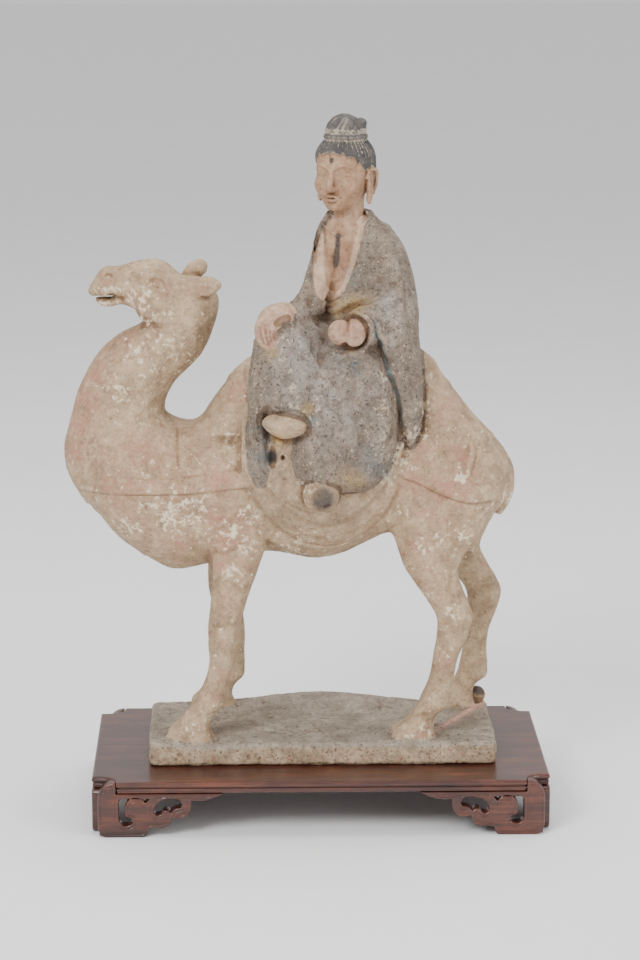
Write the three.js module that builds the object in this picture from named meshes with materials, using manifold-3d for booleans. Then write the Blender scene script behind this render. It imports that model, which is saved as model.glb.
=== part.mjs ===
// A terracotta camel with a robed rider, on a rectangular slab of the same clay, that rests on a
// carved hardwood stand. Millimetres, +Z up. The camel looks towards -X and the rider towards -Y.
// The stand's middle is x = 0, y = 0 in every table below; the last lines centre the whole part.
import * as THREE from "three";
import { mergeVertices } from "three/addons/utils/BufferGeometryUtils.js";
import Module from "manifold-3d";

// Stand
const STAND_LENGTH = 323;
const STAND_DEPTH = 189;
const STAND_HEIGHT = 40;
const BOARD_THICKNESS = 8.2;
const NOTCH_X = 17.5; // the board's corners are cut back by this much along X and Y
const NOTCH_Y = 14.5;
const POST_INSET_X = 4.5; // the front foot post stops this far from the side face
const POST_INSET_Y = 11; // the side foot post stops this far from the front face
const SIDE_FOOT_THICKNESS = 10;
const FRONT_LEAF_END = 88.5; // from the post's outer edge to the tip of the bracket
const SIDE_LEAF_END = 77;
const JOINT_GAP = 0.3; // between pieces that touch

// Ground slab of the figure
const SLAB_MIN_X = -122;
const SLAB_MAX_X = 126;
const SLAB_FRONT_Y = -58;
const SLAB_BACK_Y = 55;
const SLAB_THICKNESS = 17;
const SLAB_CORNER = 7; // corner radius in plan
const SLAB_EDGE = 2; // rounding of the upper and lower edges
const SLAB_BASE = STAND_HEIGHT + JOINT_GAP;
const SLAB_TOP = STAND_HEIGHT + SLAB_THICKNESS;
const SLAB_MOUND = 8; // how much the back edge rises at its middle

// Camel
const BODY_HALF_WIDTH = 49;
const LEG_SPREAD = 42; // from the middle plane to the middle of a near foot
const FORE_STRIDE = 15; // how far behind the near forefoot the far one stands
const HIND_STRIDE = 33;
const STRAP_HALF_WIDTH = 5.5;
const STRAP_PROUD = 1.5;

// Rider
const HEAD_TURN = THREE.MathUtils.degToRad(-30); // the face looks between -Y and -X
const HEAD_PLACE = new THREE.Vector3(18.3, -13, 458);

const wasm = await Module();
wasm.setup();

// Turns a closed geometry into a solid.
function solidOf(geometry) {
  const bare = geometry.clone();
  bare.deleteAttribute("normal");
  bare.deleteAttribute("uv");
  const merged = mergeVertices(bare, 1e-4);
  return new wasm.Manifold(
    new wasm.Mesh({
      numProp: 3,
      vertProperties: new Float32Array(merged.attributes.position.array),
      triVerts: new Uint32Array(merged.index.array),
    }),
  );
}

function geometryOf(solid) {
  const mesh = solid.getMesh();
  const positions = new Float32Array(mesh.numVert * 3);
  for (let i = 0; i < mesh.numVert; i++) {
    const start = i * mesh.numProp;
    positions.set(mesh.vertProperties.subarray(start, start + 3), i * 3);
  }
  const geometry = new THREE.BufferGeometry();
  geometry.setAttribute("position", new THREE.BufferAttribute(positions, 3));
  geometry.setIndex(new THREE.BufferAttribute(mesh.triVerts, 1));
  const flat = geometry.toNonIndexed();
  flat.computeVertexNormals();
  return flat;
}

// One closed section of a loft: a rounded oval around a middle, with two half axes.
function ring(middle, u, v, power) {
  const rounded = (value) => Math.sign(value) * Math.abs(value) ** (2 / power);
  return (angle) =>
    middle
      .clone()
      .addScaledVector(u, rounded(Math.cos(angle)))
      .addScaledVector(v, rounded(Math.sin(angle)));
}

// A section seen edge-on from the side: it runs from [x, z] on one outline to [x, z] on the other.
function sideRing([x0, z0], [x1, z1], y, half, power = 2.2) {
  const middle = new THREE.Vector3((x0 + x1) / 2, y, (z0 + z1) / 2);
  const u = new THREE.Vector3((x1 - x0) / 2, 0, (z1 - z0) / 2);
  return ring(middle, u, new THREE.Vector3(0, half, 0), power);
}

// A level section.
function flatRing(x, y, z, rx, ry, power = 2.2, turn = 0) {
  const u = new THREE.Vector3(Math.cos(turn) * rx, Math.sin(turn) * rx, 0);
  const v = new THREE.Vector3(-Math.sin(turn) * ry, Math.cos(turn) * ry, 0);
  return ring(new THREE.Vector3(x, y, z), u, v, power);
}

// Round sections square to a path of [x, y, z, radius] rows; flat < 1 thins them across "side".
function pathRings(rows, side = new THREE.Vector3(0, 1, 0), flat = 1) {
  const places = rows.map(([x, y, z]) => new THREE.Vector3(x, y, z));
  return rows.map(([, , , radius], i) => {
    const before = places[Math.max(i - 1, 0)];
    const after = places[Math.min(i + 1, rows.length - 1)];
    const along = after.clone().sub(before).normalize();
    const u = new THREE.Vector3().crossVectors(along, side).normalize();
    const v = new THREE.Vector3().crossVectors(along, u);
    return ring(places[i], u.multiplyScalar(radius), v.multiplyScalar(radius * flat), 2);
  });
}

// A closed solid through a row of sections, smooth from each to the next.
function loft(rings, { sides = 16, steps = 1 } = {}) {
  const rows = (rings.length - 1) * steps;
  const positions = [];
  const columns = [];
  for (let i = 0; i < sides; i++) {
    const angle = (i / sides) * 2 * Math.PI;
    const through = rings.map((section) => section(angle));
    columns.push(new THREE.CatmullRomCurve3(through, false, "centripetal").getPoints(rows));
  }
  for (let row = 0; row <= rows; row++) {
    columns.forEach((column) => positions.push(...column[row].toArray()));
  }
  const index = [];
  const at = (row, i) => row * sides + (i % sides);
  for (let row = 0; row < rows; row++) {
    for (let i = 0; i < sides; i++) {
      index.push(at(row, i), at(row, i + 1), at(row + 1, i));
      index.push(at(row, i + 1), at(row + 1, i + 1), at(row + 1, i));
    }
  }
  [0, rows].forEach((row, end) => {
    const centre = new THREE.Vector3();
    columns.forEach((column) => centre.addScaledVector(column[row], 1 / sides));
    const pole = positions.length / 3;
    positions.push(...centre.toArray());
    for (let i = 0; i < sides; i++) {
      const edge = [at(row, i + 1), at(row, i)];
      index.push(pole, ...(end ? edge.reverse() : edge));
    }
  });
  const geometry = new THREE.BufferGeometry();
  geometry.setAttribute("position", new THREE.Float32BufferAttribute(positions, 3));
  geometry.setIndex(index);
  const solid = solidOf(geometry);
  if (solid.volume() > 0) return solid;
  for (let i = 0; i < index.length; i += 3) {
    [index[i + 1], index[i + 2]] = [index[i + 2], index[i + 1]];
  }
  geometry.setIndex(index);
  return solidOf(geometry);
}

function ball(x, y, z, rx, ry, rz, { turn = 0, sides = 8 } = {}) {
  const geometry = new THREE.SphereGeometry(1, sides, Math.ceil(sides * 0.6)).rotateX(Math.PI / 2);
  return solidOf(geometry.scale(rx, ry, rz).rotateZ(turn).translate(x, y, z));
}

function block(x0, x1, y0, y1, z0, z1) {
  const geometry = new THREE.BoxGeometry(x1 - x0, y1 - y0, z1 - z0);
  return solidOf(geometry.translate((x0 + x1) / 2, (y0 + y1) / 2, (z0 + z1) / 2));
}

function join(solids) {
  return solids.reduce((whole, solid) => whole.add(solid));
}

// Ground slab: straight sides with soft edges, and a top that rises to the back.
function slab() {
  const outline = new THREE.Shape();
  const right = SLAB_MAX_X - SLAB_CORNER;
  const left = SLAB_MIN_X + SLAB_CORNER;
  const front = SLAB_FRONT_Y + SLAB_CORNER;
  const back = SLAB_BACK_Y - SLAB_CORNER;
  outline.absarc(right, front, SLAB_CORNER - SLAB_EDGE, -Math.PI / 2, 0);
  outline.absarc(right, back, SLAB_CORNER - SLAB_EDGE, 0, Math.PI / 2);
  outline.absarc(left, back, SLAB_CORNER - SLAB_EDGE, Math.PI / 2, Math.PI);
  outline.absarc(left, front, SLAB_CORNER - SLAB_EDGE, Math.PI, 1.5 * Math.PI);
  const body = new THREE.ExtrudeGeometry(outline, {
    depth: SLAB_TOP - SLAB_BASE - 2 * SLAB_EDGE,
    bevelThickness: SLAB_EDGE,
    bevelSize: SLAB_EDGE,
    bevelSegments: 2,
    curveSegments: 3,
  });
  body.translate(0, 0, SLAB_BASE + SLAB_EDGE);
  const mound = ball(2, SLAB_BACK_Y, SLAB_TOP - 2, 88, 42, SLAB_MOUND + 2, { sides: 16 });
  const room = block(SLAB_MIN_X, SLAB_MAX_X, 0, SLAB_BACK_Y - 1, SLAB_TOP - 4, SLAB_TOP + 20);
  return solidOf(body).add(mound.intersect(room));
}

function camelBody() {
  const rows = [
    // x, underside, top, share of the half width
    [-178, 246, 262, 0.24],
    [-171, 230, 280, 0.56],
    [-158, 216, 284, 0.78],
    [-143, 197, 284, 0.92],
    [-125, 184, 282, 0.98],
    [-103, 173, 279, 1],
    [-80, 177, 280, 1],
    [-35, 186, 288, 0.96],
    [0, 180.5, 290, 0.96],
    [45, 198, 290, 0.95],
    [90, 206, 286, 0.92],
    [115, 207, 272, 0.79],
    [130, 218, 258, 0.55],
    [137, 230, 246, 0.25],
  ];
  const rings = rows.map(([x, low, high, share]) =>
    sideRing([x, low], [x, high], 0, BODY_HALF_WIDTH * share, 2.3),
  );
  return loft(rings, { sides: 14 });
}

// The two straps of the harness: a shallow raised band round the chest and one round the rump.
function harness() {
  const band = (rows) => {
    const rings = rows.map(([x, y, z, lean]) => {
      const out = new THREE.Vector3(lean, Math.sign(y) * (1 - Math.abs(lean)), 0).normalize();
      return ring(
        new THREE.Vector3(x, y, z),
        out.multiplyScalar(STRAP_PROUD * 2),
        new THREE.Vector3(0, 0, STRAP_HALF_WIDTH),
        4,
      );
    });
    return loft(rings, { sides: 6 });
  };
  const mirrored = (rows) => {
    const farSide = rows.map(([x, y, z, lean]) => [x, -y, z, lean]).reverse();
    return [...rows, ...farSide];
  };
  const chest = [
    [-48, -46, 240, 0],
    [-100, -48, 237, 0],
    [-140, -43, 236, -0.2],
    [-162, -28, 235, -0.5],
    [-170, -12, 234, -0.9],
  ];
  const rump = [
    [56, -46, 252, 0],
    [80, -45, 243, 0],
    [104, -38, 236, 0.2],
    [124, -24, 233, 0.6],
    [134, -8, 232, 0.9],
  ];
  return [chest, rump].map((rows) => band(mirrored(rows)));
}

function humps() {
  const front = [
    [-42, 280, 38, 38],
    [-38, 295, 33, 33],
    [-36, 309, 28, 27],
    [-34, 320, 20, 20],
    [-32, 330, 10, 11],
  ];
  const rear = [
    [80, 272, 41, 38],
    [75, 290, 30, 33],
    [72, 303, 23, 27],
    [68, 318, 15, 18],
    [67, 329, 8, 9],
  ];
  return [front, rear].map((rows) =>
    loft(rows.map(([x, z, rx, ry]) => flatRing(x, 0, z, rx, ry)), { sides: 12 }),
  );
}

function neck() {
  return loft(
    [
      sideRing([-170, 240], [-78, 264], 0, 42),
      sideRing([-179, 262], [-98, 276], 0, 36),
      sideRing([-176, 284], [-108.5, 286], 0, 31),
      sideRing([-172, 300], [-108, 296], 0, 28.5),
      sideRing([-164.5, 316], [-101, 309.5], 0, 27),
      sideRing([-154, 332], [-89, 321], 0, 26),
      sideRing([-140, 343.5], [-80.5, 331], 0, 25),
      sideRing([-127, 349], [-75, 345], 0, 24),
      sideRing([-120, 357], [-70.5, 361], 0, 22),
      sideRing([-111, 372], [-73, 373], 0, 18),
      sideRing([-104, 381], [-84, 383], 0, 12),
    ],
    { sides: 12 },
  );
}

function camelHead() {
  const skull = loft(
    [
      sideRing([-93, 366], [-91, 382], 0, 10),
      sideRing([-99, 353], [-99, 387], 0, 16),
      sideRing([-107, 348], [-107, 394], 0, 20, 2.4),
      sideRing([-116, 347.5], [-115, 396.5], 0, 20.5, 2.4),
      sideRing([-124, 353], [-124, 396], 0, 18, 2.4),
      sideRing([-132, 361], [-132, 394], 0, 14),
      sideRing([-141, 369.5], [-141, 391.5], 0, 11.5),
      sideRing([-152, 370], [-151, 391], 0, 12, 2.5),
      sideRing([-160, 370], [-158.5, 383], 0, 10),
      sideRing([-162.5, 371], [-162, 375], 0, 6),
    ],
    { sides: 12 },
  );
  const jaw = loft(
    [
      sideRing([-124, 357], [-124, 370], 0, 12),
      sideRing([-134, 362.5], [-134, 372], 0, 10),
      sideRing([-142, 363.5], [-142, 370], 0, 9.5),
      sideRing([-150, 362], [-150, 368.4], 0, 9.5),
      sideRing([-157, 366], [-157, 368.4], 0, 6),
    ],
    { sides: 10 },
  );
  const brows = [-1, 1].map((side) => ball(-113, side * 17.5, 379, 9, 4.5, 6.5));
  const eyes = [-1, 1].map((side) => ball(-117, side * 18.5, 376.5, 3.6, 3, 3));
  const nostrils = [-1, 1].map((side) => ball(-151, side * 10.5, 381, 5.5, 3, 4.5));
  const ear = (side, tip) =>
    loft(
      pathRings(
        [
          [-95, side * 11, 376, 4],
          [-88, side * 15, 379, 6.5],
          [(tip[0] - 90) / 2, side * 18, (tip[1] + 378) / 2 + 1, 6],
          [tip[0], side * 20, tip[1], 1.8],
        ],
        new THREE.Vector3(0, 1, 0),
        0.6,
      ),
      { sides: 8 },
    );
  return [skull, jaw, ...brows, ...eyes, ...nostrils, ear(-1, [-68, 380]), ear(1, [-79, 388])];
}

// Legs. Each row has a height, the front and back outline of the near leg there, the share of the
// spread and the half width. The far leg is the same leg, swung back by the stride.
const FORELEG = [
  [222, -83, -30, 0.62, 20],
  [200, -77, -37, 0.74, 17],
  [186, -75, -41, 0.81, 15],
  [173, -75.5, -46, 0.86, 13.5],
  [153, -78, -53.5, 0.92, 12],
  [133, -78.3, -58.7, 0.95, 10],
  [115, -78.7, -61.2, 0.96, 9],
  [101, -82, -64.5, 0.98, 9],
  [89, -87.5, -67, 1, 9.5],
  [80.5, -92, -69.2, 1, 10.5],
  [74, -97, -77, 1, 10.5],
  [67, -103, -79, 1, 12.5],
  [60, -106, -78, 1, 13.5],
  [53, -105, -78, 1, 13],
];
const HINDLEG = [
  [250, 52, 121, 0.5, 20],
  [223, 51.5, 121, 0.6, 21],
  [209, 51, 117, 0.68, 20],
  [194, 55.5, 105.5, 0.78, 17],
  [180, 60.5, 97.5, 0.86, 13.5],
  [167, 69, 100.5, 0.9, 12],
  [155, 77.5, 106, 0.93, 11.5],
  [143, 83.7, 108.5, 0.95, 11],
  [133, 83.3, 105.7, 0.96, 10],
  [115, 80.5, 98, 0.98, 8.8],
  [99, 77, 95, 1, 9],
  [87, 72, 92.8, 1, 9.7],
  [80, 69.5, 91, 1, 10.5],
  [74, 65.5, 83, 1, 10.5],
  [67, 59, 81.3, 1, 12],
  [60, 54.5, 80, 1, 13],
  [53, 55, 79.5, 1, 12.5],
];

// How far back the far leg stands at a height, from 0 at the hip to the whole stride at the foot.
function swing(height, hip, foot, stride) {
  const down = THREE.MathUtils.clamp((hip - height) / (hip - foot), 0, 1);
  return stride * down ** 0.6;
}

function leg(rows, side, shift) {
  const rings = rows.map(([z, front, back, share, half]) => {
    const away = shift(z);
    const y = side * LEG_SPREAD * share * (side > 0 ? 0.95 : 1);
    return sideRing([front + away, z], [back + away, z], y, half, 2.3);
  });
  return loft(rings, { sides: 9 });
}

function legs() {
  const farFore = (z) => swing(z, 150, 75, FORE_STRIDE + 4) - 4;
  const farHind = (z) => 8 + swing(z, 222, 74, HIND_STRIDE - 8);
  return [
    leg(FORELEG, -1, () => 0),
    leg(FORELEG, 1, farFore),
    leg(HINDLEG, -1, () => 0),
    leg(HINDLEG, 1, farHind),
  ];
}

function tail() {
  return loft(
    pathRings([
      [118, 0, 264, 5],
      [127, 0, 252, 6.5],
      [132.5, 0, 240, 7],
      [132.5, 0, 226, 6.5],
      [129, 0, 212, 4],
    ]),
    { sides: 8 },
  );
}

// Saddle cloth: an oval cover over the flanks, with two rolled folds along its lower edge.
function saddleCloth() {
  const cover = ball(3, 0, 256, 58, 53, 54, { sides: 16 });
  const roll = (drop, radius) => {
    const rows = [];
    for (let i = 0; i <= 7; i++) {
      const angle = Math.PI * (1.06 + (i / 7) * 0.88);
      const x = 5 + (46 + drop * 0.35) * Math.cos(angle);
      const z = 250 + (38 + drop) * Math.sin(angle);
      const y = -52 + 0.0046 * (x - 3) ** 2 + drop * 0.12;
      rows.push([x, y, z, i === 0 || i === 7 ? radius * 0.5 : radius]);
    }
    return loft(pathRings(rows), { sides: 6 });
  };
  return [cover, roll(0, 4), roll(13, 4)];
}

function riderTorso() {
  return loft(
    [
      flatRing(20, -9, 430, 14, 12),
      flatRing(23, -9, 421, 22, 17),
      flatRing(25.5, -9, 410, 29, 21),
      flatRing(28, -8, 397, 33, 23),
      flatRing(29, -8, 383, 35.5, 24),
      flatRing(29, -7, 365, 38, 27),
      flatRing(29, -5, 345, 39, 31),
      flatRing(30, -2, 320, 41, 37),
      flatRing(30, 0, 298, 44, 45),
      flatRing(30, 1, 280, 42, 49),
      flatRing(30, 1, 262, 30, 48),
    ],
    { sides: 12 },
  );
}

// Opening of the robe over the chest, with its raised inner border.
function chestOpening() {
  return ball(10.5, -31.5, 403, 12, 6, 31, { turn: -0.2, sides: 14 });
}

function riderNeckAndHead() {
  const throat = loft([flatRing(21, -11, 418, 12, 12), flatRing(20.5, -11, 445, 10.5, 10.5)], {
    sides: 10,
  });
  const forward = new THREE.Vector3(Math.sin(HEAD_TURN), -Math.cos(HEAD_TURN), 0);
  const level = (z, ahead, rx, ry) => {
    const at = HEAD_PLACE.clone().addScaledVector(forward, ahead);
    return flatRing(at.x, at.y, HEAD_PLACE.z + z, rx, ry, 2.1, HEAD_TURN);
  };
  const face = loft(
    [
      level(-26, 8, 5.5, 5),
      level(-22, 6.5, 11, 10.5),
      level(-15, 3.5, 15.5, 16),
      level(-6, 1.5, 18, 19),
      level(4, 0.5, 19, 20),
      level(13, 0, 18.6, 19.6),
      level(20, -0.5, 15, 16),
      level(25, -1, 8, 9),
    ],
    { sides: 12 },
  );
  const hair = loft(
    [
      level(-14, -8, 15, 12),
      level(-4, -6, 19.5, 15.5),
      level(6, -3.5, 21, 18.5),
      level(14, -1.5, 20, 19.7),
      level(21, -1, 16.5, 16.5),
      level(25, -1, 12, 12),
    ],
    { sides: 12 },
  );
  const bun = loft(
    [
      level(22, -1, 13.5, 13.5),
      level(24.5, -1, 14.6, 14.6),
      level(27, -1, 13.2, 13.2),
      level(32, -1, 14.6, 14.6),
      level(37, -1, 12, 12),
      level(40.5, -1, 5, 5),
    ],
    { sides: 10 },
  );
  const knob = ball(32, -9, 493, 3.2, 3.2, 3.2);
  const noseAt = HEAD_PLACE.clone().addScaledVector(forward, 19.5);
  const nose = loft(
    [
      flatRing(noseAt.x, noseAt.y, HEAD_PLACE.z + 3, 1.6, 2, 2, HEAD_TURN),
      flatRing(noseAt.x, noseAt.y, HEAD_PLACE.z - 6.5, 3.2, 3.8, 2, HEAD_TURN),
      flatRing(noseAt.x, noseAt.y, HEAD_PLACE.z - 8, 2, 2, 2, HEAD_TURN),
    ],
    { sides: 6 },
  );
  const across = new THREE.Vector3(Math.cos(HEAD_TURN), Math.sin(HEAD_TURN), 0);
  const ears = [-1, 1].map((side) => {
    const at = HEAD_PLACE.clone().addScaledVector(across, side * 19).addScaledVector(forward, -3);
    return ball(at.x, at.y, HEAD_PLACE.z - 6, 3, 5, 11, { turn: HEAD_TURN });
  });
  return [throat, face, hair, bun, knob, nose, ...ears];
}

// The sleeve on the right hangs in a long panel below a forearm that ends in a broken wrist.
function rightSleeve() {
  const panel = loft(
    [
      flatRing(40, -10, 419, 9, 11),
      flatRing(48.5, -13, 403, 12, 15),
      flatRing(53.5, -18, 382, 13, 19),
      flatRing(52, -25, 362, 16, 23),
      flatRing(52, -29, 345, 17, 25),
      flatRing(56, -30, 325, 15, 25),
      flatRing(61, -29, 300, 11, 24),
      flatRing(63, -28, 282, 8, 20),
      flatRing(62, -26, 268, 4, 12),
    ],
    { sides: 12 },
  );
  const forearm = loft(
    pathRings([
      [54, -22, 362, 14],
      [40, -36, 357, 14.5],
      [28, -48, 353, 14],
      [19.5, -57, 351, 12],
    ]),
    { sides: 10 },
  );
  const dowel = new THREE.CylinderGeometry(2.1, 2.1, 16, 8).translate(16, -56, 342.5);
  return panel.add(forearm).subtract(solidOf(dowel));
}

function leftSleeveAndHand() {
  const sleeve = loft(
    pathRings([
      [10, -13, 414, 9],
      [5.5, -17, 400, 11],
      [1, -24, 385, 11],
      [-5.5, -33, 371, 10.5],
      [-16, -43, 361, 9.5],
    ]),
    { sides: 10 },
  );
  const hand = loft(
    pathRings([
      [-19, -45, 362, 7.5],
      [-29, -52, 361, 9.5],
      [-37, -57, 352, 9.5],
      [-37, -58, 342, 7],
      [-35, -58, 336, 3.5],
    ]),
    { sides: 10 },
  );
  return [sleeve, hand];
}

// The raised leg under its robe, the shoe that shows below the hem, and the robe's side panel.
function raisedLeg() {
  const thigh = loft(
    pathRings([
      [14, -8, 318, 22],
      [-2, -22, 334, 21],
      [-18, -38, 348, 18],
      [-28, -46, 352, 13],
    ]),
    { sides: 12 },
  );
  const shin = loft(
    [
      flatRing(-26, -44, 358, 12, 12),
      flatRing(-25, -43, 345, 18.5, 18.5),
      flatRing(-23, -41, 328, 23, 22.5),
      flatRing(-21, -39, 311, 27, 25),
      flatRing(-20, -38, 298, 28, 25),
      flatRing(-20, -38, 293, 24, 21),
    ],
    { sides: 12 },
  );
  const shoe = loft(
    [
      sideRing([-6, 284], [-6, 294], -54, 6),
      sideRing([-14, 280], [-14, 297], -57, 8.5),
      sideRing([-26, 280], [-27, 298], -60, 9),
      sideRing([-36, 285], [-37, 296], -61, 7),
      sideRing([-40, 289], [-40, 292.5], -61, 3.5),
    ],
    { sides: 10 },
  );
  const panel = loft(
    [
      flatRing(-40, -44, 345, 4, 8),
      flatRing(-43, -46, 325, 5, 11),
      flatRing(-44.5, -47, 300, 5.5, 11),
      flatRing(-44.5, -47, 270, 5.5, 9),
      flatRing(-43, -48, 252, 5.5, 7),
      flatRing(-41, -48, 243, 2, 4),
    ],
    { sides: 8 },
  );
  return [thigh, shin, shoe, panel];
}

// The hanging leg: a broad bell of cloth over the knee, and the broken toe of the second shoe.
function hangingLeg() {
  const bell = loft(
    [
      flatRing(22, -28, 345, 22, 20),
      flatRing(23, -35, 328, 28, 26),
      flatRing(22, -40, 312, 32, 27.5),
      flatRing(20, -42, 296, 34.5, 26.5),
      flatRing(17.5, -43, 280, 36.5, 25),
      flatRing(15, -44, 264, 37, 23),
      flatRing(13, -45, 251, 32.5, 20),
      flatRing(12, -46, 243, 26, 16.5),
      flatRing(11, -47, 238, 17, 11),
    ],
    { sides: 14 },
  );
  const shoe = loft(
    [
      flatRing(0.5, -58, 246, 8, 8),
      flatRing(0, -61, 240, 11.5, 12.5),
      flatRing(0, -61, 233, 11, 12.5),
      flatRing(0, -59, 228, 7, 9),
    ],
    { sides: 10 },
  );
  const broken = block(-8, 8, -82, -66, 238, 252);
  return bell.add(shoe.subtract(broken));
}

// Raised folds of the robe over both legs.
function folds() {
  const rows = [
    [[2, -62, 330, 2], [14, -67, 325, 4], [24, -67.5, 317, 4.5], [28, -66.5, 306, 3]],
    [[38, -55, 330, 2], [46, -60, 312, 4], [48, -61, 290, 4.5], [42, -62, 265, 4], [30, -63, 248, 2]],
    [[-46, -50, 330, 2], [-34, -60, 312, 3], [-20, -64, 303, 3.5], [-4, -61, 296, 2.5]],
    [[60, -44, 345, 2], [66, -46, 320, 3.5], [68, -42, 295, 3.5], [66, -38, 275, 2]],
    [[-2, -31, 372, 2], [12, -34, 368, 3.5], [28, -34, 369, 3.5], [42, -30, 374, 2]],
  ];
  return rows.map((path) => loft(pathRings(path), { sides: 5 }));
}

function figure() {
  const robe = riderTorso().subtract(chestOpening());
  return join([
    slab(),
    camelBody(),
    ...harness(),
    ...humps(),
    neck(),
    ...camelHead(),
    ...legs(),
    tail(),
    ...saddleCloth(),
    robe,
    ...riderNeckAndHead(),
    rightSleeve(),
    ...leftSleeveAndHand(),
    ...raisedLeg(),
    hangingLeg(),
    ...folds(),
  ]);
}

// Outline of the board: a rectangle whose corners are scooped out.
function boardOutline(inset) {
  const halfX = STAND_LENGTH / 2 - inset;
  const halfY = STAND_DEPTH / 2 - inset;
  const outline = new THREE.Shape();
  const corners = [
    [1, -1],
    [1, 1],
    [-1, 1],
    [-1, -1],
  ];
  outline.moveTo(-halfX + NOTCH_X, -halfY);
  corners.forEach(([sx, sy]) => {
    const alongX = [sx * (halfX - NOTCH_X), sy * halfY];
    const alongY = [sx * halfX, sy * (halfY - NOTCH_Y)];
    const inner = [sx * (halfX - NOTCH_X), sy * (halfY - NOTCH_Y)];
    const ordered = sx * sy < 0 ? [alongX, alongY] : [alongY, alongX];
    outline.lineTo(...ordered[0]);
    outline.quadraticCurveTo(...inner, ...ordered[1]);
  });
  outline.closePath();
  return outline;
}

function boardLayer(inset, z0, z1) {
  const geometry = new THREE.ExtrudeGeometry(boardOutline(inset), {
    depth: z1 - z0,
    bevelEnabled: false,
    curveSegments: 3,
  });
  return solidOf(geometry.translate(0, 0, z0));
}

// The board: a flat top with a step along its lower edge.
function board() {
  const base = STAND_HEIGHT - BOARD_THICKNESS;
  return join([
    boardLayer(0, base + 3, STAND_HEIGHT - 1),
    boardLayer(1, base, base + 3.01),
    boardLayer(1, STAND_HEIGHT - 1.01, STAND_HEIGHT),
  ]);
}

// Outline of one foot, seen square on. It starts at the corner post, x = 0, and runs inwards along
// +x: a post that curls under into a comma scroll, a C scroll with two lobes, and a leaf.
function footOutline(cornerRadius, top, leafEnd) {
  const outline = new THREE.Shape();
  const under = STAND_HEIGHT - BOARD_THICKNESS - JOINT_GAP;
  outline.moveTo(7.5, 0);
  outline.lineTo(31, 0);
  outline.quadraticCurveTo(35.4, 0.3, 35.4, 5.5);
  outline.bezierCurveTo(37, 7, 40, 6.4, 43, 6.4);
  outline.bezierCurveTo(48.5, 6.4, 52, 10, 52, 14.5);
  outline.bezierCurveTo(54, 13.6, 56, 13.4, 58, 13.5);
  outline.bezierCurveTo(63, 14, 65.5, 18, 65.6, 23);
  outline.lineTo(65.8, 26.6);
  outline.quadraticCurveTo(65.8 + (leafEnd - 65.8) * 0.4, 24.5, leafEnd, under);
  if (top > under) {
    outline.lineTo(13, under);
    outline.lineTo(13 - JOINT_GAP, top);
    outline.lineTo(cornerRadius - JOINT_GAP, top);
    outline.quadraticCurveTo(1, top - 1, 0, top - cornerRadius);
  } else {
    outline.lineTo(cornerRadius, under);
    outline.quadraticCurveTo(0, under, 0, under - cornerRadius);
  }
  outline.lineTo(0, 9);
  outline.quadraticCurveTo(0, 0, 7.5, 0);

  const comma = new THREE.Path();
  comma.moveTo(16.5, under - 3.4);
  comma.lineTo(14.7, under - 5.4);
  comma.lineTo(14.7, 13.5);
  comma.quadraticCurveTo(14.9, 8.6, 20, 8.4);
  comma.quadraticCurveTo(24.6, 9, 24.3, 12.2);
  comma.quadraticCurveTo(23.5, 14.6, 20.4, 14.6);
  comma.quadraticCurveTo(18.8, 15.4, 18.8, 18);
  comma.bezierCurveTo(18.8, 26, 22, 29, 27, 28.8);
  comma.quadraticCurveTo(31.5, 28.4, 33.4, 24.8);
  comma.lineTo(36.6, under - 3.4);
  comma.closePath();

  const kidney = new THREE.Path();
  kidney.moveTo(39.4, 17.5);
  kidney.quadraticCurveTo(42, 14.4, 45, 17.4);
  kidney.quadraticCurveTo(47.6, 21.6, 51, 17.6);
  kidney.quadraticCurveTo(54, 21.6, 57.6, 21.2);
  kidney.bezierCurveTo(61, 22.6, 58, 28.2, 53.4, 27.9);
  kidney.bezierCurveTo(46, 28.2, 38.5, 25, 39.4, 17.5);
  outline.holes.push(comma, kidney);
  return outline;
}

// One corner foot, modelled at the front left: a front bracket, a side bracket and the corner.
function foot(sx, sy) {
  const flat = { bevelEnabled: false, curveSegments: 2 };
  const frontY = -STAND_DEPTH / 2;
  const sideX = -STAND_LENGTH / 2;
  const front = new THREE.ExtrudeGeometry(footOutline(13, STAND_HEIGHT, FRONT_LEAF_END), {
    ...flat,
    depth: POST_INSET_Y,
  });
  front.rotateX(Math.PI / 2);
  front.translate(sideX + POST_INSET_X, frontY + POST_INSET_Y, 0);
  const side = new THREE.ExtrudeGeometry(footOutline(3.5, 0, SIDE_LEAF_END), {
    ...flat,
    depth: SIDE_FOOT_THICKNESS,
  });
  side.rotateX(Math.PI / 2).rotateZ(Math.PI / 2);
  side.translate(sideX, frontY + POST_INSET_Y, 0);
  const under = STAND_HEIGHT - BOARD_THICKNESS - JOINT_GAP;
  const inner = block(sideX + POST_INSET_X + 1, sideX + 14, frontY + 2, frontY + 22, 0.8, under - 1);
  const boardRoom = boardLayer(-JOINT_GAP, under, STAND_HEIGHT + 1);
  const whole = solidOf(front).add(solidOf(side)).add(inner).subtract(boardRoom);
  const placed = geometryOf(whole).scale(sx, sy, 1);
  if (sx * sy > 0) return placed;
  const turned = placed.attributes.position.array;
  for (let i = 0; i < turned.length; i += 9) {
    for (let k = 0; k < 3; k++) {
      [turned[i + 3 + k], turned[i + 6 + k]] = [turned[i + 6 + k], turned[i + 3 + k]];
    }
  }
  placed.computeVertexNormals();
  return placed;
}

const clay = new THREE.MeshStandardMaterial({ color: "#a08a6e", roughness: 0.9, metalness: 0 });
const wood = new THREE.MeshStandardMaterial({ color: "#4a241a", roughness: 0.4, metalness: 0 });

const part = new THREE.Group();
const placed = new THREE.Group();
part.add(placed);

function addMesh(name, geometry, material) {
  const mesh = new THREE.Mesh(geometry, material.clone());
  mesh.name = name;
  placed.add(mesh);
}

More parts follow.
